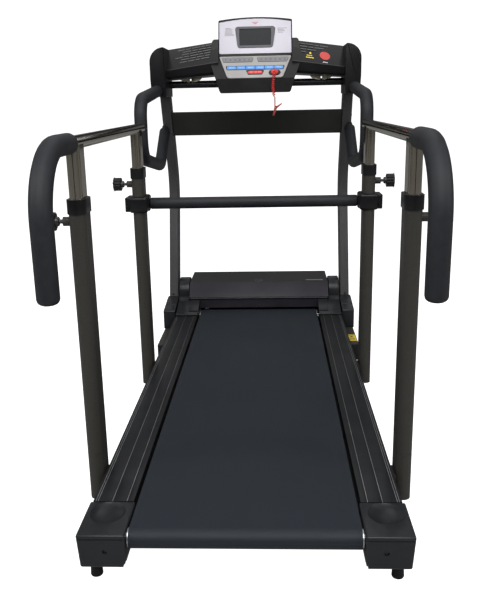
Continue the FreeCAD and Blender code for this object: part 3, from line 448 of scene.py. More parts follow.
def slab(name, low, high):
    """A box between two corners, with its place in its mesh."""
    deselect()
    middle = [(a + b) / 2 for a, b in zip(low, high)]
    bpy.ops.mesh.primitive_cube_add(size=1, location=middle)
    piece = bpy.context.object
    piece.name = name
    piece.scale = [b - a for a, b in zip(low, high)]
    settle(piece)
    return piece


def turned(name, axis, centre, profile, sides=48):
    """A lathe shape: profile is (distance along the axis, radius) from one end to the other."""
    deselect()
    bpy.ops.mesh.primitive_circle_add(vertices=sides, radius=profile[0][1], fill_type="NGON")
    piece = bpy.context.object
    piece.name = name
    bpy.ops.object.mode_set(mode="EDIT")
    bpy.ops.transform.translate(value=(0, 0, profile[0][0]))
    for (before, narrow), (after, wide) in zip(profile, profile[1:]):
        bpy.ops.mesh.extrude_region_move(TRANSFORM_OT_translate={"value": (0, 0, after - before)})
        bpy.ops.transform.resize(value=(wide / narrow, wide / narrow, 1))
    out_of_edit()
    turn = {"x": Matrix.Rotation(math.radians(90), 4, "Y"), "-x": Matrix.Rotation(math.radians(-90), 4, "Y"),
            "y": Matrix.Rotation(math.radians(-90), 4, "X"), "-y": Matrix.Rotation(math.radians(90), 4, "X"),
            "z": Matrix.Identity(4), "-z": Matrix.Rotation(math.radians(180), 4, "X")}[axis]
    piece.matrix_world = Matrix.Translation(centre) @ turn
    settle(piece)
    fix_normals(piece)
    return piece


def joined(name, pieces):
    deselect()
    for piece in pieces:
        piece.select_set(True)
    bpy.context.view_layer.objects.active = pieces[0]
    if len(pieces) > 1:
        bpy.ops.object.join()
    pieces[0].name = name
    return pieces[0]


def mirrored(piece, name):
    """A copy on the other side of the machine, facing outwards."""
    other = bpy.data.objects.new(name, piece.data.copy())
    bpy.context.scene.collection.objects.link(other)
    other.scale = (-1, 1, 1)
    settle(other)
    activate(other)
    bpy.ops.object.mode_set(mode="EDIT")
    bpy.ops.mesh.select_all(action="SELECT")
    bpy.ops.mesh.normals_make_consistent(inside=False)
    out_of_edit()
    return other


def copy_of(node, name):
    """A node's own shape as one clean mesh: welded, with flat areas made single faces."""
    piece = bpy.data.objects.new(name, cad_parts[node].data.copy())
    bpy.context.scene.collection.objects.link(piece)
    activate(piece)
    bpy.ops.mesh.customdata_custom_splitnormals_clear()
    bpy.ops.object.mode_set(mode="EDIT")
    bpy.ops.mesh.select_all(action="SELECT")
    bpy.ops.mesh.remove_doubles(threshold=2e-5)
    bpy.ops.mesh.dissolve_limited(angle_limit=math.radians(0.5))
    out_of_edit()
    return piece


# ---- camera, lanyard -------------------------------------------------------------------------

CAMERA_SPOT = (0.0665, from_back(-1379), 1.0255)
CAMERA_YAW, CAMERA_PITCH, CAMERA_ROLL = 2.62, 15.16, -1.165
CAMERA_LENS = 44.3


def make_camera():
    deselect()
    bpy.ops.object.camera_add()
    camera = bpy.context.object
    camera.name = "view_from_behind"
    turn = Matrix.Rotation(math.radians(CAMERA_YAW), 4, "Z")
    tip = Matrix.Rotation(math.radians(90 - CAMERA_PITCH), 4, "X")
    roll = Matrix.Rotation(math.radians(CAMERA_ROLL), 4, "Z")
    camera.matrix_world = Matrix.Translation(CAMERA_SPOT) @ turn @ tip @ roll
    camera.data.lens = CAMERA_LENS
    camera.data.clip_end = 50
    bpy.context.scene.camera = camera


# Route of the lanyard in millimetres, y from the back: from the key's cap down to the clip.
LANYARD_ROUTE = [
    (78, 1692, 1133), (77, 1674, 1122), (73, 1667, 1102), (70.5, 1667, 1080), (71, 1669, 1057),
    (76, 1669, 1034),
]


def smooth_line(name, spots):
    """An open curve with the spots as control points."""
    curve = bpy.data.curves.new(name, "CURVE")
    curve.dimensions = "3D"
    spline = curve.splines.new("NURBS")
    spline.points.add(len(spots) - 1)
    for point, spot in zip(spline.points, spots):
        point.co = (*spot, 1)
    spline.order_u = 3
    spline.use_endpoint_u = True
    spline.resolution_u = 24
    piece = bpy.data.objects.new(name, curve)
    bpy.context.scene.collection.objects.link(piece)
    return piece


def points_along(piece):
    """Points read from a curve that has no bevel, in order."""
    mesh = bpy.data.meshes.new_from_object(piece)
    return [vertex.co.copy() for vertex in mesh.vertices]


def make_lanyard():
    """A cord wound like a spring between the key's cap and the clip."""
    size = sizes()
    guide = smooth_line("lanyard_guide", [(x * MM, from_back(y), z * MM) for x, y, z in LANYARD_ROUTE])
    line = points_along(guide)
    bpy.data.objects.remove(guide)
    steps = [0.0]
    for before, after in zip(line, line[1:]):
        steps.append(steps[-1] + (after - before).length)
    turns, per_turn, narrow = 15, 12, 8 * MM
    spots, length = [], steps[-1]
    for k in range(turns * per_turn + 1):
        along = length * k / (turns * per_turn)
        i = max(j for j in range(len(steps) - 1) if steps[j] <= along + 1e-9)
        share = (along - steps[i]) / (steps[i + 1] - steps[i])
        here = line[i].lerp(line[i + 1], share)
        ahead = (line[i + 1] - line[i]).normalized()
        side = ahead.cross(Vector((1, 0, 0))).normalized()
        out = ahead.cross(side)
        reach = size.coil_radius * min(1, along / narrow, (length - along) / narrow)
        angle = math.tau * k / per_turn
        spots.append(here + (side * math.cos(angle) + out * math.sin(angle)) * reach)
    cord = smooth_line("lanyard_cord", spots)
    cord.data.splines[0].resolution_u = 3
    cord.data.bevel_depth = size.strand_radius
    cord.data.bevel_resolution = 3
    cord.data.use_fill_caps = True
    cord.data.materials.append(MATERIALS["wound_red_cord"])
    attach(cord, "pull_key")
    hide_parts("lanyard")


# ---- outlines and solids ---------------------------------------------------------------------

def rounded(corners, radius, steps=4):
    """A closed outline whose corners are arcs: radius is one length, or one for each corner."""
    radii = radius if isinstance(radius, list) else [radius] * len(corners)
    spots = []
    for i, (corner, bend) in enumerate(zip(corners, radii)):
        here, before, after = Vector(corner), Vector(corners[i - 1]), Vector(corners[(i + 1) % len(corners)])
        if not bend:
            spots.append(here)
            continue
        back, on = (before - here).normalized(), (after - here).normalized()
        half = back.angle(on) / 2
        middle = here + (back + on).normalized() * bend / math.sin(half)
        first, last = (here + way * bend / math.tan(half) - middle for way in (back, on))
        spots += [middle + first.slerp(last, k / steps) * bend for k in range(steps + 1)]
    return spots


def face_through(name, spots):
    """One flat face with its corners at the spots."""
    deselect()
    bpy.ops.mesh.primitive_circle_add(vertices=len(spots), radius=1, fill_type="NGON")
    piece = bpy.context.object
    piece.name = name
    for vertex, spot in zip(piece.data.vertices, spots):
        vertex.co = spot
    return piece


def extruded(name, spots, push):
    """A solid: the face through the spots, pushed along a direction."""
    piece = face_through(name, spots)
    activate(piece)
    bpy.ops.object.mode_set(mode="EDIT")
    bpy.ops.mesh.select_all(action="SELECT")
    bpy.ops.mesh.extrude_region_move(TRANSFORM_OT_translate={"value": tuple(push)})
    out_of_edit()
    fix_normals(piece)
    return piece


def side_profile(name, corners, low, high, radius=0, steps=4):
    """A solid from an outline of (y, z) in millimetres, y from the back, between two x."""
    spots = [(low * MM, from_back(y), z * MM) for y, z in rounded(corners, radius, steps)]
    return extruded(name, spots, ((high - low) * MM, 0, 0))


def rear_profile(name, corners, low, high, radius=0, steps=4):
    """A solid from an outline of (x, z) in millimetres, between two y from the back."""
    spots = [(x * MM, from_back(low), z * MM) for x, z in rounded(corners, radius, steps)]
    return extruded(name, spots, (0, (high - low) * MM, 0))


def plan_profile(name, corners, low, high, radius=0, steps=4):
    """A solid from an outline of (x, y) in millimetres, y from the back, between two z."""
    spots = [(x * MM, from_back(y), low * MM) for x, y in rounded(corners, radius, steps)]
    return extruded(name, spots, (0, 0, (high - low) * MM))


def box_mm(name, xs, ys, zs):
    """A box between two x, two y from the back and two z, in millimetres."""
    low = (xs[0] * MM, from_back(ys[0]), zs[0] * MM)
    return slab(name, low, (xs[1] * MM, from_back(ys[1]), zs[1] * MM))


def lofted(name, first, second):
    """A solid between two faces with as many corners."""
    push = second[0] - first[0]
    piece = extruded(name, first, push)
    for vertex in piece.data.vertices:
        for start, end in zip(first, second):
            if (vertex.co - start - push).length < 1e-7:
                vertex.co = end
    fix_normals(piece)
    return piece


def oval_corners(x, y, wide, deep):
    """The corners of a flat oval, for rounded()."""
    return [(x + sx * wide / 2, y + sy * deep / 2) for sx, sy in ((-1, -1), (1, -1), (1, 1), (-1, 1))]


def oval_solid(name, x, y, wide, deep, low, high, steps=10):
    return plan_profile(name, oval_corners(x, y, wide, deep), low, high, wide / 2 - 0.01, steps)


def carve(piece, *tools, operation="DIFFERENCE"):
    """Cut other solids out of a piece, or keep only what they share."""
    for tool in tools:
        modifier = piece.modifiers.new("Carve", "BOOLEAN")
        modifier.operation = operation
        modifier.solver = "EXACT"
        modifier.object = tool
        apply_modifiers(piece)
        bpy.data.objects.remove(tool)
    return piece


def on_both_sides(piece, body_left, body_right, slot, material, left_nodes, right_nodes):
    """The piece on the right, and its mirror image on the left."""
    stem = piece.name
    left = mirrored(piece, stem + "_left")
    smooth(left)
    piece.name = stem + "_right"
    give(piece, body_right, slot, material, *right_nodes)
    give(left, body_left, slot, material, *left_nodes)
    return left, piece


def pair_on_frame(piece, slot, material, *nodes):
    """The piece and its mirror image as one object on the frame."""
    name = piece.name
    left = mirrored(piece, name + "_left")
    both = joined(name, [piece, left])
    smooth(both)
    return give(both, "frame", slot, material, *nodes)


# ---- leaning console faces -------------------------------------------------------------------

# Each face's lower edge as y from the back and z in millimetres, and its lean in degrees.
FACES = {"keypad": (1680, 1110, 38.7), "display": (1800, 1206, 67.3)}


def lay_on(piece, surface):
    """Move a piece made about the origin, x across, y up the face and z out of it, on to a console face."""
    y, z, lean = FACES[surface]
    piece.matrix_world = (Matrix.Translation((0, from_back(y), z * MM))
                          @ Matrix.Rotation(math.radians(lean), 4, "X"))
    settle(piece)
    return piece


def face_plate(name, surface, corners, low, high, radius=0, edge=0.0, steps=4):
    """A plate on a console face from an outline of (x, v), between two heights, in millimetres."""
    spots = [(x * MM, v * MM, low * MM) for x, v in rounded(corners, radius, steps)]
    piece = extruded(name, spots, (0, 0, (high - low) * MM))
    if edge:
        bevel(piece, edge * MM, 2)
    return lay_on(piece, surface)


def oblong(x, v, wide, tall):
    """Corners of an upright rectangle about its middle."""
    return [(x + sx * wide / 2, v + sv * tall / 2) for sx, sv in ((-1, -1), (1, -1), (1, 1), (-1, 1))]


def arched(half, low, shoulder, top, steps=10):
    """An outline with a flat foot and a shallow arch on top."""
    arch = [(half * (1 - 2 * k / steps), shoulder + (top - shoulder) * (1 - (1 - 2 * k / steps) ** 2))
            for k in range(steps + 1)]
    return [(-half, low), (half, low)] + arch


# ---- walking deck ----------------------------------------------------------------------------

def make_rails():
    """Foot rails with rounded edges, and light grey strips in their grooves that are painted highlights."""
    for side in ("left", "right"):
        rail = copy_of("side_rail_" + side, f"side_rail_{side}_extrusion")
        bevel(rail, 0.4 * MM, 2)
        give(rail, "frame", "rail_aluminium", "anodised_rail", "side_rail_" + side)
    top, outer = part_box("side_rail_right")[1].z / MM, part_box("side_rail_right")[1].x / MM
    # Thin light strips set into the grooves stand for their edges catching light: painted highlights.
    lines = []
    for inset in (79, 45, 11, 6):
        middle = outer - inset
        lines.append(box_mm("groove", (middle - 0.7, middle + 0.7), (142.5, 1664), (top - 1.2, top - 0.15)))
    strips = joined("painted_groove_highlights", lines)
    bevel(strips, 0.3 * MM, 2)
    pair_on_frame(strips, "rail_aluminium", "painted_highlight_lines")


# The thumb hollow's bowl, as (height, radius) in millimetres, and how far it is stretched across and along.
HOLLOW_BOWL = [(0, 10), (2, 20), (6, 29), (12, 35), (20, 38)]
HOLLOW_X, HOLLOW_Y = 312, 94
HOLLOW_WIDE, HOLLOW_LONG = 1.15, 1.3


def make_rear_caps():
    """Moulded end caps with a scooped thumb hollow, a lip along the back edge and a blind bolt hole."""
    cap = rear_profile("rear_caps_shell", [(257, 131), (364, 131), (358, 52), (260, 52)], 0.2, 142)
    bevel(cap, 5 * MM, 4)
    hollow = turned("hollow", "z", (HOLLOW_X * MM, from_back(HOLLOW_Y), 119 * MM),
                    [(height * MM, reach * MM) for height, reach in HOLLOW_BOWL], 40)
    hollow.scale = (HOLLOW_WIDE, HOLLOW_LONG, 1)
    hollow.location = (HOLLOW_X * MM * (1 - HOLLOW_WIDE), from_back(HOLLOW_Y) * (1 - HOLLOW_LONG), 0)
    settle(hollow)
    hole = turned("hole", "y", (302 * MM, from_back(-1), 91 * MM), [(0, 5.5 * MM), (9 * MM, 5.5 * MM)], 24)
    lip = box_mm("lip", (250, 370), (-2, 1.6), (119.5, 122.5))
    notch = side_profile("notch", [(-2, 50), (26, 50), (22, 60), (-2, 60)], 255, 264)
    tunnel = box_mm("tunnel", (266, 353), (6, 150), (40, 114))
    roller_way = box_mm("roller_way", (250, 270), (27, 43), (98, 114))
    carve(cap, hollow, hole, lip, notch, tunnel, roller_way)
    smooth(cap, 35)
    pair_on_frame(cap, "black_plastic", "satin_black", "rear_caps")


def make_front_caps():
    """Covers over the rails' front ends: a rolled rear edge, then a ramp up to the motor cover."""
    cap = side_profile("rail_front_caps_shell", [
        (1665, 131.4), (1665, 137), (1700, 140.5), (1798, 165), (1798, 134), (1702, 131.4),
    ], 262.5, 356.8, [1.5, 2.6, 8, 4, 4, 8])
    bevel(cap, 2.5 * MM, 3)
    skirt = side_profile("skirt", [(1671, 70), (1798, 70), (1798, 136), (1671, 136)], 352.5, 356.8, 2)
    bevel(skirt, 1 * MM, 2)
    ridge = side_profile("ridge", [(1690, 139), (1700, 143.5), (1797, 168), (1797, 150)], 262.5, 303, 2)
    bevel(ridge, 2 * MM, 3)
    pair_on_frame(joined("rail_front_caps_shell", [cap, skirt, ridge]), "black_plastic", "satin_black",
                  "rail_front_caps")


def make_rear_feet():
    """Rubber feet with a waist and a rounded sole, and a short screw beside each."""
    foot = turned("rear_feet_rubber", "z", (336 * MM, from_back(52), 0), [
        (0, 10.5 * MM), (1.2 * MM, 12.8 * MM), (4 * MM, 14 * MM), (22 * MM, 13 * MM), (44 * MM, 13.2 * MM),
        (50 * MM, 12.8 * MM), (51.5 * MM, 9 * MM)], 40)
    smooth(foot)
    screw = turned("screw", "z", (318 * MM, from_back(45), 38 * MM), [
        (0, 2.5 * MM), (1 * MM, 3.6 * MM), (15.5 * MM, 3.6 * MM)], 20)
    smooth(screw)
    pair_on_frame(joined("rear_feet_rubber", [foot, screw]), "foot_rubber", "moulded_rubber", "rear_feet")


# ---- base and covers -------------------------------------------------------------------------

def make_base_frame():
    """Floor tubes with rounded corners, end plugs and a yellow caution plate on the right arm."""
    tubes = [box_mm("tube", (-366, 366), ys, (0, 40)) for ys in ((1480, 1520), (2100, 2140))]
    tubes += [box_mm("stand", (side * 272, side * 312) if side > 0 else (-312, -272), (y, y + 30), (38, 60))
              for side in (-1, 1) for y in (1480, 2100)]
    tubes.append(turned("pivot", "x", (-366 * MM, from_back(1560), 45 * MM),
                        [(0, 7 * MM), (732 * MM, 7 * MM)], 32))
    arm = box_mm("arm", (366, 408), (1458, 2138), (0, 70))
    bevel(arm, 4 * MM, 3)
    tubes += [arm, mirrored(arm, "arm_left")]
    frame_piece = joined("base_frame_tubes", tubes)
    bevel(frame_piece, 1.2 * MM, 2)
    give(frame_piece, "frame", "frame_paint", "hammertone_enamel", "base_frame")
    plugs = []
    for low, high in ((1456, 1459), (2137, 2140)):
        plug = box_mm("plug", (367.5, 406.5), (low, high), (1.5, 68.5))
        bevel(plug, 1.2 * MM, 3)
        plugs.append(plug)
    pair_on_frame(joined("base_arm_plugs", plugs), "black_plastic", "moulded_black")
    plate = plan_profile("caution_plate", oblong(388, 1537, 33, 84), 70, 70.3, 4)
    give(plate, "frame", "frame_paint", "ink_yellow")
    signs = [
        plan_profile("bar", oblong(388, y, wide, tall), 70.25, 70.5)
        for y, wide, tall in ((1512, 22, 3), (1520, 22, 3), (1528, 16, 3), (1569, 22, 4))
    ]
    signs.append(plan_profile("triangle", [(380, 1541), (396, 1541), (388, 1558)], 70.25, 70.5, 1.5))
    give(joined("caution_marks", signs), "frame", "frame_paint", "ink_dark")


HOOD_PROFILE = [
    (1800, 170), (1800, 178), (1852, 237), (2050, 237), (2115, 200), (2115, 100), (1808, 100), (1808, 170),
]


def make_motor_cover():
    """Motor cover: flat top, sloping back that overhangs a set-back lower wall, a lighter satin on all faces
    but the top as painted sheen, and a light strip under the overhang as a painted highlight.
    """
    hood = side_profile("motor_cover_shell", HOOD_PROFILE, -310, 310, [2, 3, 10, 16, 20, 3, 2, 1.5])
    bevel(hood, 7 * MM, 4, 60)
    floor = box_mm("floor", (-306.5, 306.5), (1811.5, 2111.5), (90, 166))
    upper = side_profile("upper", [
        (1811.5, 165), (1811.5, 184), (1856, 233.5), (2048, 233.5), (2111, 197), (2111, 165),
    ], -306.5, 306.5)
    mouth = box_mm("mouth", (-272, 272), (1795, 1815), (90, 127))
    carve(hood, floor, upper, mouth)
    smooth(hood, 35)
    give(hood, "frame", "black_plastic", "hood_painted_sheen_satin", "motor_cover")
    # Upward faces of the top keep the darker black; all other faces get the lighter satin, a painted sheen.
    hood.data.materials.append(MATERIALS["moulded_black"])
    for face in hood.data.polygons:
        face.material_index = int(face.normal.z > 0.9 and face.center.z > 230 * MM)
    badge = turned("hood_badge", "z", (0, from_back(1868), 236.6 * MM), [
        (0, 17 * MM), (0.8 * MM, 17 * MM), (0.8 * MM, 15.2 * MM), (0.4 * MM, 15.2 * MM)], 40)
    tag = box_mm("tag", (212, 288), (1862, 1874), (236.6, 237.4))
    give(joined("hood_badge", [badge, tag]), "frame", "black_plastic", "strip_grey")
    # A light strip at the foot of the sloping back, under its overhang: a painted highlight, not a trim part.
    highlight_line = box_mm("hood_highlight_line", (-304, 304), (1798.9, 1800.6), (171.8, 173.4))
    bevel(highlight_line, 0.5 * MM, 2)
    give(highlight_line, "frame", "black_plastic", "painted_highlight_lines")
    # Dark bars on the hood's sides: painted shade where the vent openings are, not cut holes.
    slots = []
    for k in range(9):
        for side in (-1, 1):
            slots.append(box_mm("vent_shade", (side * 309.2, side * 310.4) if side > 0 else (-310.4, -309.2),
                                (1920 + 14 * k, 1927 + 14 * k), (150, 196)))
    vent_shades = joined("hood_vent_shades", slots)
    bevel(vent_shades, 0.4 * MM, 2)
    give(vent_shades, "frame", "black_plastic", "dark_plastic_and_painted_shade")


def make_corner_covers():
    """Stepped covers at the uprights' feet, and round-topped ones beside the motor cover."""
    foot = side_profile("corner_covers_shell", [(1680, 70), (1680, 150), (1843, 172), (1812, 70)], 361, 411,
                        [1.5, 7, 6, 1.5])
    bevel(foot, 6 * MM, 4, 50)
    step = side_profile("step", [(1740, 120), (1740, 160), (1848, 176), (1822, 120)],
                        362.5, 409, [2, 6, 6, 2])
    bevel(step, 5 * MM, 4, 50)
    crown = side_profile("crown", [(1840, 98), (1840, 244), (1968, 244), (1968, 98)],
                         313, 359, [3, 58, 58, 3], 9)
    bevel(crown, 7 * MM, 4, 50)
    gusset = side_profile("gusset", [(1805, 98), (1805, 150), (1842, 176), (1842, 98)],
                          313, 361, [2, 5, 3, 2])
    bevel(gusset, 3 * MM, 3, 50)
    pair_on_frame(joined("corner_covers_shell", [foot, step, crown, gusset]), "black_plastic", "satin_black",
                  "corner_covers")


# ---- uprights --------------------------------------------------------------------------------

def make_uprights():
    """Bent rectangular tubes with a small screw near the foot."""
    upright = side_profile("uprights_tube", [
        (1815, 70), (1899, 70), (2084, 655), (1886, 1108), (1802, 1108), (2000, 655),
    ], 365, 405, [0, 0, 262, 0, 0, 262], 12)
    bevel(upright, 5 * MM, 4, 60)
    pair_on_frame(upright, "black_paint", "upright_enamel", "uprights")
    screw = turned("upright_screws", "y", (387 * MM, from_back(1848), 178 * MM), [
        (0, 2 * MM), (1.2 * MM, 5.2 * MM), (4 * MM, 6 * MM), (10 * MM, 6 * MM)], 24)
    smooth(screw)
    pair_on_frame(screw, "black_plastic", "dark_plastic_and_painted_shade")
    panel = copy_of("cross_panel", "cross_panel_box")
    bevel(panel, 4 * MM, 4)
    give(panel, "frame", "black_paint", "panel_enamel", "cross_panel")


def make_frame_bolts():
    """Dome-headed socket bolts outside the uprights, and the roller's tension screws."""
    bolts = []
    for y, z in ((1917, 955), (1935, 915), (1860, 110), (1880, 150)):
        head = turned("bolt", "x", (405 * MM, from_back(y), z * MM), [
            (0, 8 * MM), (1 * MM, 8 * MM), (3.4 * MM, 6.8 * MM), (5 * MM, 4.6 * MM), (5.3 * MM, 3 * MM),
            (3.2 * MM, 2.9 * MM)], 30)
        smooth(head)
        bolts.append(head)
    tension = turned("tension", "y", (302 * MM, from_back(5), 91 * MM), [
        (0.6 * MM, 2.4 * MM), (0, 2.6 * MM), (0, 4.4 * MM), (0.5 * MM, 5 * MM), (3 * MM, 5 * MM)], 24)
    smooth(tension)
    pair_on_frame(joined("frame_bolts_domes", bolts + [tension]), "steel", "black_steel", "frame_bolts")


# ---- tubes with foam -------------------------------------------------------------------------

def bent_line(x, spots, bends):
    """Points in the plane at x along straight runs joined by arcs, from (y, z) in millimetres."""
    route = [Vector((x * MM, from_back(y), z * MM)) for y, z in spots]
    line = [route[0]]
    for before, here, after, bend in zip(route, route[1:], route[2:], bends):
        back, on = (before - here).normalized(), (after - here).normalized()
        half = back.angle(on) / 2
        reach = bend * MM / math.tan(half)
        middle = here + (back + on).normalized() * bend * MM / math.sin(half)
        first, last = here + back * reach - middle, here + on * reach - middle
        steps = max(6, round(math.degrees(math.pi - 2 * half) / 5))
        line += [middle + first.slerp(last, k / steps) * bend * MM for k in range(steps + 1)]
    return line + [route[-1]]


ROUND_TIP = [(0, 0.60), (1.5, 0.74), (4, 0.87), (7, 0.95), (12, 1.0)]
SLEEVE_TIP = [(0, 0.70), (1.2, 0.82), (3.5, 0.92), (7, 1.0)]


def foam_tube(name, line, radius, first_tip, last_tip):
    """A round sleeve along a line; each tip is a list of (distance in, share of the radius)."""
    ends = []
    for tip, start, inner in ((first_tip, line[0], line[1]), (last_tip, line[-1], line[-2])):
        way = (inner - start).normalized()
        ends.append([(start + way * reach * MM, share) for reach, share in tip])
    spots = ends[0] + [(spot, 1.0) for spot in line[1:-1]] + ends[1][::-1]
    curve = bpy.data.curves.new(name, "CURVE")
    curve.dimensions = "3D"
    spline = curve.splines.new("POLY")
    spline.points.add(len(spots) - 1)
    for point, (spot, share) in zip(spline.points, spots):
        point.co = (*spot, 1)
        point.radius = share
    curve.bevel_depth = radius
    curve.bevel_resolution = 9
    curve.use_fill_caps = True
    piece = bpy.data.objects.new(name, curve)
    bpy.context.scene.collection.objects.link(piece)
    activate(piece)
    bpy.ops.object.convert(target="MESH")
    piece = bpy.context.object
    fix_normals(piece)
    smooth(piece, 55)
    return piece


def make_handrail_foams():
    """Long foam grips over the turned-down rear ends of the side handrails."""
    line = bent_line(387, [(282, 939), (40, 939), (40, 634)], [140])
    foam = foam_tube("handrail_foam_sleeve", line, sizes().foam_radius, SLEEVE_TIP, ROUND_TIP)
    for piece in on_both_sides(foam, "left_handrail", "right_handrail", "foam", "cell_foam",
                               ["handrail_foam_left"], ["handrail_foam_right"]):
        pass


def make_grip_loops():
    """Foam-covered D-shaped loops in front of the uprights."""
    line = bent_line(396, [(1700, 1066), (1285, 1031), (1277, 830), (1690, 772), (1874, 903.4)], [70, 75, 70])
    foam = foam_tube("grip_foams_sleeve", line, sizes().loop_radius, SLEEVE_TIP, SLEEVE_TIP)
    both = joined("grip_foams_sleeve", [foam, mirrored(foam, "grip_foams_left")])
    smooth(both, 55)
    give(both, "frame", "foam", "cell_foam", "grip_foams")


def make_front_bar():
    """Padded bar between the two sliding clamps."""
    y, z = 1125, 691
    line = [Vector((x * MM, from_back(y), z * MM)) for x in (-352.5, -200, 0, 200, 352.5)]
    bar = foam_tube("front_bar_pad", line, 19.5 * MM, SLEEVE_TIP, SLEEVE_TIP)
    give(bar, "cross_bar", "foam", "cell_foam", "front_bar")


# ---- clamps, collars and knobs ---------------------------------------------------------------

def make_clamps():
    """Sliding clamps: a bored block, two ears pinched by a bolt, and a rounded socket for the bar."""
    block = box_mm("front_bar_clamps_block", (354, 416), (1077, 1173), (664, 718))
    bevel(block, 9 * MM, 4)
    socket = turned("socket", "-x", (362 * MM, from_back(1125), 691 * MM), [
        (0, 26 * MM), (7 * MM, 26 * MM), (9.6 * MM, 23.5 * MM)], 40)
    smooth(socket)
    ears = []
    for low, high in ((1086, 1123), (1127, 1164)):
        ear = box_mm("ear", (410, 430.6), (low, high), (667, 715))
        bevel(ear, 3 * MM, 3)
        ears.append(ear)
    way = oval_solid("way", 387, 1125, 40.8, 80.8, 650, 730)
    split = box_mm("split", (405, 440), (1123.5, 1126.5), (650, 730))
    carve(block, way, split)
    bolt = turned("bolt", "y", (422 * MM, from_back(1078), 681 * MM), [
        (3 * MM, 2.6 * MM), (0, 2.8 * MM), (0, 5.2 * MM), (0.8 * MM, 6 * MM), (8 * MM, 6 * MM)], 24)
    smooth(bolt)
    nut = turned("nut", "y", (422 * MM, from_back(1164), 681 * MM), [(0, 6.5 * MM), (6 * MM, 6.5 * MM)], 6)
    clamp = joined("front_bar_clamps_block", [block, socket, *ears, bolt, nut])
    smooth(clamp)
    left = mirrored(clamp, "clamp_left")
    both = joined("front_bar_clamps_block", [clamp, left])
    smooth(both)
    give(both, "cross_bar", "black_plastic", "gloss_black", "front_bar_clamps")


def make_collars():
    """Rounded oval rings on the posts' tops."""
    rings = []
    for y in (332, 1125):
        ring = oval_solid("ring", 387, y, 46, 86, 778, 812)
        bevel(ring, 6 * MM, 4)
        carve(ring, oval_solid("bore", 387, y, 32.6, 70.6, 770, 820))
        rings.append(ring)
    collars = joined("post_collars_rings", rings)
    smooth(collars, 35)
    pair_on_frame(collars, "black_plastic", "gloss_black", "post_collars")


def make_knobs():
    """Fluted clamp knobs with a domed face, each on a steel neck."""
    for end, y in (("rear", 332), ("front", 1125)):
        spots = []
        for k in range(96):
            angle = math.tau * k / 96
            reach = 22 - 2.3 * max(0.0, math.cos(12 * angle)) ** 3
            spots.append((446 * MM, from_back(y) + reach * MM * math.cos(angle),
                          757 * MM + reach * MM * math.sin(angle)))
        head = extruded("lock_knob_" + end, spots, (24.5 * MM, 0, 0))
        in_edit(head, "FACE", lambda face: face.normal.x > 0.9)
        bpy.ops.mesh.inset(thickness=1.6 * MM)
        bpy.ops.transform.translate(value=(1.3 * MM, 0, 0))
        bpy.ops.mesh.inset(thickness=5 * MM)
        bpy.ops.mesh.inset(thickness=1 * MM)
        bpy.ops.transform.translate(value=(-1.2 * MM, 0, 0))
        out_of_edit()
        smooth(head, 45)
        on_both_sides(head, f"knob_{end}_left", f"knob_{end}_right", "black_plastic", "moulded_black",
                      [f"lock_knob_{end}_left"], [f"lock_knob_{end}_right"])
        neck = turned("knob_neck_" + end, "x", (410 * MM, from_back(y), 757 * MM), [
            (0, 5 * MM), (27 * MM, 5 * MM), (27.2 * MM, 10 * MM), (28.5 * MM, 11 * MM),
            (36.5 * MM, 11 * MM)], 32)
        smooth(neck)
        on_both_sides(neck, f"knob_{end}_left", f"knob_{end}_right", "steel", "black_steel", [], [])


# ---- console ---------------------------------------------------------------------------------

def make_console():
    """Console body with rounded shoulders, and the deep black rim behind the display."""
    body = side_profile("console_housing_body", [
        (1684, 1052), (1682, 1107.4), (1791, 1194.5), (1804, 1203), (1831, 1268), (1905, 1268), (1925, 1180),
        (1905, 1060),
    ], -200, 200)
    front = rear_profile("front", [
        (-140, 1050), (140, 1050), (157, 1106), (183, 1172), (178, 1269), (-178, 1269), (-183, 1172),
        (-157, 1106),
    ], 1630, 2030, [16, 16, 30, 40, 14, 14, 40, 30], 6)
    carve(body, front, operation="INTERSECT")
    smooth(body, 30)
    bevel(body, 6 * MM, 4, 28)
    rim = face_plate("rim", "display", arched(152, -6, 150, 162), -55, 0.6, 0)
    bevel(rim, 5 * MM, 4)
    smooth(rim)
    body = joined("console_housing_body", [body, rim])
    give(body, "frame", "black_plastic", "moulded_black", "console_housing")
    groove = face_plate("console_groove", "display", oblong(0, -4, 300, 7), -2, 2.2, 3, 0.8)
    give(groove, "frame", "black_plastic", "gloss_black")


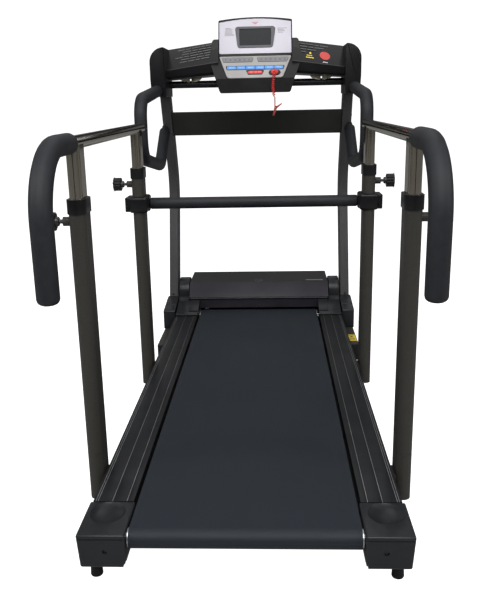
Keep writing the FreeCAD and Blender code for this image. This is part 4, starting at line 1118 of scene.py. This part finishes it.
def make_display():
    """Silver display sheet, the screen's grey bezel, its glass and the small print beside it."""
    sheet = face_plate("display_panel_sheet", "display", arched(147.5, 2, 138, 153), -3, 1.2, 0, 0.5)
    give(sheet, "frame", "silver_panel", "silver_overlay", "display_panel")
    bezel = face_plate("screen_bezel_frame", "display",
                       [(-72, 26), (72, 26), (84, 118), (-84, 118)], 1, 4.8, 12)
    bevel(bezel, 1.2 * MM, 3)
    window = face_plate("window", "display", [(-64, 35), (64, 35), (67, 108), (-67, 108)], -2, 8, 3)
    carve(bezel, window)
    smooth(bezel, 35)
    give(bezel, "frame", "black_plastic", "bezel_grey", "screen_bezel")
    glass = face_plate("display_screen_glass", "display", oblong(0, 72, 132, 74), 0.8, 2.2, 3)
    give(glass, "frame", "screen_glass", "screen_glass", "display_screen")
    rows = []
    left_rows = ((-112, 22), (-108, 30), (-110, 28), (-108, 34), (-109, 30), (-107, 38), (-106, 40))
    for k, (x, wide) in enumerate(left_rows):
        rows.append(face_plate("row", "display", oblong(x, 112 - 5.2 * k, wide, 1.8), 1.1, 1.5))
    right_rows = ((111, 38), (105, 26), (107, 30), (104, 22))
    for k, (x, wide) in enumerate(right_rows):
        rows.append(face_plate("row", "display", oblong(x, 109 - 6 * k, wide, 2), 1.1, 1.5))
    give(joined("display_small_print", rows), "frame", "silver_panel", "ink_grey")
    mark = [face_plate("mark", "display", oblong(0, 137, 26, 3), 1.1, 1.5, 1.4),
            face_plate("mark", "display", oblong(0, 131, 14, 3), 1.1, 1.5, 1.4)]
    give(joined("display_top_mark", mark), "frame", "silver_panel", "ink_red")


KEYPAD_OUTLINE = [(-110, 0.5), (110, 0.5), (147, 139), (-147, 139)]


def make_keypad():
    """Keypad sheet, its raised strips with light marks and a dark plate showing below each as a painted
    shadow, and the dark beds of the keys.
    """
    sheet = face_plate("keypad_panel_sheet", "keypad", KEYPAD_OUTLINE, -3, 0.6, [14, 14, 5, 5], 0.4)
    give(sheet, "frame", "silver_panel", "keypad_silver", "keypad_panel")
    strips, beds_and_shadows, marks = [], [], []
    for middle, lean in ((-72, 1), (72, -1)):
        near, far = (middle - lean * 62, middle + lean * 66)
        corners = [(near + lean * 5, 99), (far - lean * 6, 99), (far, 129), (near - lean * 3, 129)]
        if lean < 0:
            corners = corners[::-1]
        # A dark plate under each strip, left showing along its lower edge: a painted shadow.
        beds_and_shadows.append(face_plate("bed_and_shadow", "keypad", corners, 0.4, 1.0, 6))
        inside = [(x * 0.985 + 0.015 * middle, v + 1.8) for x, v in corners]
        strips.append(face_plate("strip", "keypad", inside, 0.6, 2.0, 5, 0.5))
        for k in range(6):
            x = middle + (k - 2.5) * 19
            marks.append(face_plate("mark", "keypad", oblong(x, 117, 5, 3), 1.9, 2.25))
            marks.append(face_plate("mark", "keypad", oblong(x, 109, 9, 1.6), 1.9, 2.25))
    give(joined("keypad_strips", strips), "frame", "silver_panel", "strip_grey")
    give(joined("keypad_strip_marks", marks), "frame", "silver_panel", "ink_dark")
    beds_and_shadows.append(face_plate("bed_and_shadow", "keypad", [(-114, 49), (114, 49), (119, 75), (-119, 75)], 0.4, 1.1, 4))
    beds_and_shadows.append(face_plate("bed_and_shadow", "keypad", [(-28, 17), (28, 17), (38, 47), (-38, 47)], 0.4, 1.1, 5))
    beds_and_shadows.append(face_plate("bed_and_shadow", "keypad", oblong(78, 29, 48, 36), 0.2, 1.0, 16))
    give(joined("keypad_key_beds_and_strip_shadows", beds_and_shadows), "frame", "black_plastic", "dark_plastic_and_painted_shade")


def make_keys():
    """Crowned caps: six blue quick keys with a light bar, and the red start key."""
    for number in range(1, 7):
        low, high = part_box(f"quick_key_{number}")
        middle = (low.x + high.x) / 2 / MM
        cap = face_plate(f"quick_key_{number}_cap", "keypad", oblong(middle, 62, 36.2, 19.6), -4, 2.4, 3)
        bevel(cap, 1.2 * MM, 3)
        give(cap, f"key_{number}", "blue_key", "blue_key_plastic", f"quick_key_{number}")
        bar = joined(f"quick_key_{number}_bars", [
            face_plate("bar", "keypad", oblong(middle - 4, 62, 10, 3), 2.3, 2.7),
            face_plate("bar", "keypad", oblong(middle + 7, 62, 7, 3), 2.3, 2.7),
        ])
        give(bar, f"key_{number}", "blue_key", "ink_blue_light")
    cap = face_plate("start_stop_key_cap", "keypad", oblong(0, 32, 59.4, 17.6), -4, 2.6, 8, steps=8)
    bevel(cap, 1.4 * MM, 3)
    give(cap, "start_key", "red_key", "red_key_plastic", "start_stop_key")
    bars = [face_plate("bar", "keypad", oblong(x, 32, wide, 3), 2.5, 2.9)
            for x, wide in ((-15, 14), (3, 10), (18, 9))]
    give(joined("start_stop_key_bars", bars), "start_key", "red_key", "ink_red_light")


def make_safety_key():
    """Pull-out key: a domed red cap with a ridge for the cord, on its stem."""
    spots = [(0, 6.2), (0, 14.6), (2, 15), (6, 14.2), (8.4, 11), (9.2, 6)]
    cap = turned("safety_key_cap", "z", (0, 0, 0), [(0.4 * MM + h * MM, r * MM) for h, r in spots], 40)
    ridge = box_mm("ridge", (-3, 3), (0, 1), (0, 1))
    ridge.matrix_world = Matrix.Translation((0, -from_back(0.5), 0))
    settle(ridge)
    ridge.scale = (1, 16, 6)
    ridge.location = (0, 0, 5 * MM)
    settle(ridge)
    bevel(ridge, 1.5 * MM, 3)
    stem = turned("stem", "z", (0, 0, -18 * MM), [(0, 5 * MM), (1.5 * MM, 6.2 * MM), (19 * MM, 6.2 * MM)], 32)
    key = joined("safety_key_cap", [cap, ridge, stem])
    key.matrix_world = Matrix.Translation((78 * MM, 29 * MM, 0))
    settle(key)
    lay_on(key, "keypad")
    smooth(key)
    give(key, "pull_key", "red_key", "red_key_plastic", "safety_key")


WING_INNER = [(1850, 1262), (1752, 1177), (1760, 1129), (1880, 1122), (1892, 1250)]
WING_OUTER = [(1846, 1232), (1756, 1147), (1764, 1111), (1880, 1108), (1888, 1222)]


def wing_spot(x, down, lift=0.0):
    """A point on the right wing's leaning face: down runs 0 to 1 from its top edge to its crease."""
    share = (x - 168) / (360 - 168)
    top, crease = (Vector(WING_INNER[i]).lerp(Vector(WING_OUTER[i]), share) for i in (0, 1))
    y, z = top.lerp(crease, down)
    out = Vector((0, -(top.y - crease.y), top.x - crease.x)).normalized() * lift
    return Vector((x * MM, from_back(y), z * MM)) + out * MM


def wing_bar(name, x, down, wide, tall):
    """A thin printed bar on the right wing's leaning face."""
    corners = [wing_spot(x + sx * wide / 2, down + sv * tall / 2, 0.1)
               for sx, sv in ((-1, 1), (1, 1), (1, -1), (-1, -1))]
    out = wing_spot(x, down, 1) - wing_spot(x, down)
    return extruded(name, corners, out * 0.35)


def make_wings():
    """Console wings with rows of small print, ending in large rounded pods."""
    first, second = ([Vector((x * MM, from_back(y), z * MM)) for y, z in rounded(outline, [6, 8, 14, 8, 8])]
                     for x, outline in ((150, WING_INNER), (372, WING_OUTER)))
    wing = lofted("wing", first, second)
    smooth(wing, 30)
    pod = rear_profile("pod", [(360, 1044), (418, 1044), (421.5, 1112), (421.5, 1234), (360, 1234)],
                       1700, 1905, [2, 8, 40, 57, 6], 10)
    bevel(pod, 14 * MM, 5, 60)
    smooth(pod, 40)
    on_both_sides(joined("wing", [wing, pod]), "frame", "frame", "black_plastic", "gloss_black",
                  ["wing_left"], ["wing_right"])
    words = []
    for row in range(6):
        x, down = 178 + row * 2, 0.14 + row * 0.12
        for wide in ((26, 14, 34, 20, 30), (18, 30, 22, 34), (34, 16, 26, 30))[row % 3]:
            words.append(wing_bar("word", x + wide / 2, down, wide, 0.035))
            x += wide + 5
    pattern = joined("left_wing_print", words)
    left = mirrored(pattern, "left_wing_print")
    bpy.data.objects.remove(pattern)
    give(left, "frame", "black_plastic", "ink_faint")
    words = []
    for row, widths in enumerate(((24, 30, 16, 34), (30, 20, 38), (22, 34), (16,))):
        x = 180 + row * 3
        for wide in widths:
            words.append(wing_bar("word", x + wide / 2, 0.16 + row * 0.13, wide, 0.035))
            x += wide + 5
    give(joined("right_wing_print", words), "frame", "black_plastic", "ink_faint")
    figure = [wing_bar("figure", 222, 0.80, 32, 0.045), wing_bar("figure", 220, 0.70, 22, 0.04),
              wing_bar("figure", 224, 0.58, 7, 0.09)]
    give(joined("right_wing_yellow_mark", figure), "frame", "black_plastic", "ink_yellow")
    spots = [wing_spot(283 + 21 * math.cos(math.tau * k / 32), 0.62 + 0.19 * math.sin(math.tau * k / 32), 0.1)
             for k in range(32)]
    out = wing_spot(283, 0.6, 1) - wing_spot(283, 0.6)
    give(extruded("right_wing_red_mark", spots, out * 0.4), "frame", "black_plastic", "ink_red")
    note = [wing_bar("note", 283, 0.63, 22, 0.06), wing_bar("note", 283, 0.93, 20, 0.035)]
    give(joined("right_wing_red_mark_bars", note), "frame", "black_plastic", "ink_white")


def make_pulse_grips():
    """Bars between the console and the uprights, with a split leaf-shaped chrome plate on each."""
    bar = turned("pulse_bar_tube", "x", (135 * MM, from_back(1840), 1092 * MM), [
        (0, 14.6 * MM), (230 * MM, 14.6 * MM)], 40)
    smooth(bar)
    pair_on_frame(bar, "black_plastic", "satin_black", "pulse_bar")
    leaves = []
    for sign in (-1, 1):
        spots = []
        for k in range(13):
            angle = math.pi / 2 * k / 12
            spots.append((272 + sign * (3 + 44 * math.cos(angle)), 1119 - 19 * math.sin(angle)))
        spots.append((272 + sign * 3, 1119))
        leaf = rear_profile("leaf", spots, 1828, 1833)
        bevel(leaf, 1.2 * MM, 3)
        leaves.append(leaf)
    pair_on_frame(joined("pulse_sensor_plates", leaves), "steel", "polished_chrome", "pulse_sensors")


# ---- finishes on the nodes that keep their own shape -----------------------------------------

KEPT = {
    "woven_belt": ["running_belt"],
    "moulded_rubber": ["drive_belt", "deck_cushions", "transport_wheel_left", "transport_wheel_right"],
    "waxed_board": ["deck_board"],
    "turned_steel": ["front_roller", "rear_roller", "roller_axles", "motor_flywheel", "incline_screw"],
    "black_powder_coat": ["deck_frame", "motor_body", "incline_frame", "incline_actuator", "grip_loop_tubes"],
    "hammertone_enamel": ["outer_posts"],
    "polished_chrome": ["handrail_left", "handrail_right"],
    "red_metal": ["lanyard_clip", "clip_lever"],
}


def finish_kept_nodes():
    for finish, nodes in KEPT.items():
        for node in nodes:
            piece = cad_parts[node]
            piece.data.materials.clear()
            piece.data.materials.append(MATERIALS[finish])
            smooth(piece, 35)


# ---- stage -----------------------------------------------------------------------------------

HORIZON_LIGHT, SKY_LIGHT, BACKDROP_LIGHT = 0.08, 0.40, 1.1
FLOOR_FILL, FLOOR_GLOW = 0.05, 1.1


def studio_world():
    """Soft patchy light from above that fades towards the horizon, in front of a plain white backdrop."""
    world = bpy.data.worlds.new("studio")
    world.use_nodes = True
    tree = world.node_tree
    background = tree.nodes["Background"]
    background.inputs["Color"].default_value = (1, 1, 1, 1)
    way = add_node(tree, "TexCoord")
    parts = add_node(tree, "SeparateXYZ")
    wire(tree, way.outputs["Generated"], parts.inputs["Vector"])
    fade = add_node(tree, "MapRange", interpolation_type="SMOOTHSTEP")
    fade_range = (("From Min", -0.05), ("From Max", 0.75), ("To Min", HORIZON_LIGHT), ("To Max", SKY_LIGHT))
    for label, value in fade_range:
        fade.inputs[label].default_value = value
    wire(tree, parts.outputs["Z"], fade.inputs["Value"])
    patches = add_node(tree, "MapRange")
    for label, value in (("From Min", 0.38), ("From Max", 0.62), ("To Min", 0.15), ("To Max", 1.85)):
        patches.inputs[label].default_value = value
    wire(tree, noise(tree, way.outputs["Generated"], 3.0, 1.0), patches.inputs["Value"])
    uneven = math_node(tree, "MULTIPLY", fade.outputs["Result"], patches.outputs["Result"])
    seen = add_node(tree, "LightPath")
    choose = add_node(tree, "Mix")
    wire(tree, seen.outputs["Is Camera Ray"], choose.inputs["Factor"])
    wire(tree, uneven, choose.inputs["A"])
    choose.inputs["B"].default_value = BACKDROP_LIGHT
    wire(tree, choose.outputs["Result"], background.inputs["Strength"])
    return world




def make_stage():
    """A pale floor, the studio light and four soft boxes."""
    deselect()
    bpy.ops.mesh.primitive_plane_add(size=30)
    floor = bpy.context.object
    floor.name = "pale_floor"
    tree, shader = blank_material("pale_floor", 0.9)
    speckle = noise(tree, object_coordinates(tree), 3.0, 3.0)
    shade_between(tree, shader, speckle, (0.33, 0.33, 0.33, 1), (0.37, 0.37, 0.37, 1))
    shader.inputs["Emission Color"].default_value = (1, 1, 1, 1)
    seen = add_node(tree, "LightPath")
    glow = add_node(tree, "MapRange")
    glow.inputs["To Min"].default_value = FLOOR_FILL
    glow.inputs["To Max"].default_value = FLOOR_GLOW
    wire(tree, seen.outputs["Is Camera Ray"], glow.inputs["Value"])
    wire(tree, glow.outputs["Result"], shader.inputs["Emission Strength"])
    shader.inputs["Specular IOR Level"].default_value = 0.1
    floor.data.materials.append(MATERIALS["pale_floor"])
    bpy.context.scene.world = studio_world()
    bpy.context.scene.view_settings.view_transform = "Standard"
    lamps = (
        ("overhead_softbox", (0.0, 0.9, 3.4), (0, 0, 0), 2.4, 16),
        ("camera_softbox", (0.0, -3.0, 3.8), (52, 0, 0), 3.4, 170),
        ("left_softbox", (-2.8, -1.6, 2.2), (0, -52, 0), 1.0, 30),
        ("right_softbox", (2.8, -1.6, 2.2), (0, 52, 0), 1.0, 30),
    )
    for name, spot, turn, side, power in lamps:
        deselect()
        bpy.ops.object.light_add(type="AREA", location=spot, rotation=[math.radians(angle) for angle in turn])
        lamp = bpy.context.object
        lamp.name = name
        lamp.data.shape = "SQUARE"
        lamp.data.size = side
        lamp.data.energy = power


# ---- operators and panel ---------------------------------------------------------------------

class TREADMILL_OT_lanyard(bpy.types.Operator):
    """Set the camera and wind the safety key's cord"""
    bl_idname = "treadmill.lanyard"
    bl_label = "Camera and lanyard"

    def execute(self, context):
        make_materials()
        make_camera()
        make_lanyard()
        return {"FINISHED"}


class TREADMILL_OT_rails(bpy.types.Operator):
    """Make the foot rails and the painted highlight strips in their grooves"""
    bl_idname = "treadmill.rails"
    bl_label = "Foot rails"

    def execute(self, context):
        make_rails()
        return {"FINISHED"}


class TREADMILL_OT_end_caps(bpy.types.Operator):
    """Make the rear end caps, the front covers of the rails and the feet"""
    bl_idname = "treadmill.end_caps"
    bl_label = "End caps and feet"

    def execute(self, context):
        make_rear_caps()
        make_front_caps()
        make_rear_feet()
        return {"FINISHED"}


class TREADMILL_OT_base(bpy.types.Operator):
    """Make the floor tubes with their plugs and caution plate"""
    bl_idname = "treadmill.base"
    bl_label = "Base frame"

    def execute(self, context):
        make_base_frame()
        return {"FINISHED"}


class TREADMILL_OT_covers(bpy.types.Operator):
    """Make the motor cover and the corner covers"""
    bl_idname = "treadmill.covers"
    bl_label = "Motor and corner covers"

    def execute(self, context):
        make_motor_cover()
        make_corner_covers()
        return {"FINISHED"}


class TREADMILL_OT_uprights(bpy.types.Operator):
    """Make the bent uprights, the cross panel and the bolts"""
    bl_idname = "treadmill.uprights"
    bl_label = "Uprights and bolts"

    def execute(self, context):
        make_uprights()
        make_frame_bolts()
        return {"FINISHED"}


class TREADMILL_OT_foams(bpy.types.Operator):
    """Make the foam grips of the handrails, the loops and the front bar"""
    bl_idname = "treadmill.foams"
    bl_label = "Foam grips"

    def execute(self, context):
        make_handrail_foams()
        make_grip_loops()
        make_front_bar()
        return {"FINISHED"}


class TREADMILL_OT_clamps(bpy.types.Operator):
    """Make the sliding clamps, the post collars and the fluted knobs"""
    bl_idname = "treadmill.clamps"
    bl_label = "Clamps, collars and knobs"

    def execute(self, context):
        make_clamps()
        make_collars()
        make_knobs()
        return {"FINISHED"}


class TREADMILL_OT_console(bpy.types.Operator):
    """Make the console body, its wings and the pulse grips"""
    bl_idname = "treadmill.console"
    bl_label = "Console and wings"

    def execute(self, context):
        make_console()
        make_wings()
        make_pulse_grips()
        return {"FINISHED"}


class TREADMILL_OT_controls(bpy.types.Operator):
    """Make the display, the keypad, the keys and the safety key"""
    bl_idname = "treadmill.controls"
    bl_label = "Display and keys"

    def execute(self, context):
        make_display()
        make_keypad()
        make_keys()
        make_safety_key()
        return {"FINISHED"}


class TREADMILL_OT_finishes(bpy.types.Operator):
    """Give the nodes that keep their own shape their finishes"""
    bl_idname = "treadmill.finishes"
    bl_label = "Finishes"

    def execute(self, context):
        finish_kept_nodes()
        return {"FINISHED"}


class TREADMILL_OT_stage(bpy.types.Operator):
    """Add the pale floor and the soft studio light"""
    bl_idname = "treadmill.stage"
    bl_label = "Stage"

    def execute(self, context):
        make_stage()
        return {"FINISHED"}


STEPS = (
    TREADMILL_OT_lanyard, TREADMILL_OT_rails, TREADMILL_OT_end_caps, TREADMILL_OT_base, TREADMILL_OT_covers,
    TREADMILL_OT_uprights, TREADMILL_OT_foams, TREADMILL_OT_clamps, TREADMILL_OT_console,
    TREADMILL_OT_controls, TREADMILL_OT_finishes, TREADMILL_OT_stage,
)


class TREADMILL_PT_build(bpy.types.Panel):
    """Sizes, colours and the building steps in order"""
    bl_idname = "TREADMILL_PT_build"
    bl_label = "Walking treadmill"
    bl_space_type = "VIEW_3D"
    bl_region_type = "UI"
    bl_category = "Treadmill"

    def draw(self, context):
        for settings in (context.scene.treadmill_sizes, context.scene.treadmill_colours):
            box = self.layout.box()
            for name in settings.__annotations__:
                box.prop(settings, name)
        column = self.layout.column(align=True)
        for made_by in STEPS:
            column.operator(made_by.bl_idname)


CLASSES = (TreadmillSizes, TreadmillColours, *STEPS, TREADMILL_PT_build)


def register():
    for item in CLASSES:
        bpy.utils.register_class(item)
    bpy.types.Scene.treadmill_sizes = bpy.props.PointerProperty(type=TreadmillSizes)
    bpy.types.Scene.treadmill_colours = bpy.props.PointerProperty(type=TreadmillColours)


def unregister():
    del bpy.types.Scene.treadmill_colours
    del bpy.types.Scene.treadmill_sizes
    for item in reversed(CLASSES):
        bpy.utils.unregister_class(item)


def main():
    register()
    for made_by in STEPS:
        family, _, action = made_by.bl_idname.partition(".")
        getattr(getattr(bpy.ops, family), action)()


if __name__ == "__main__":
    main()
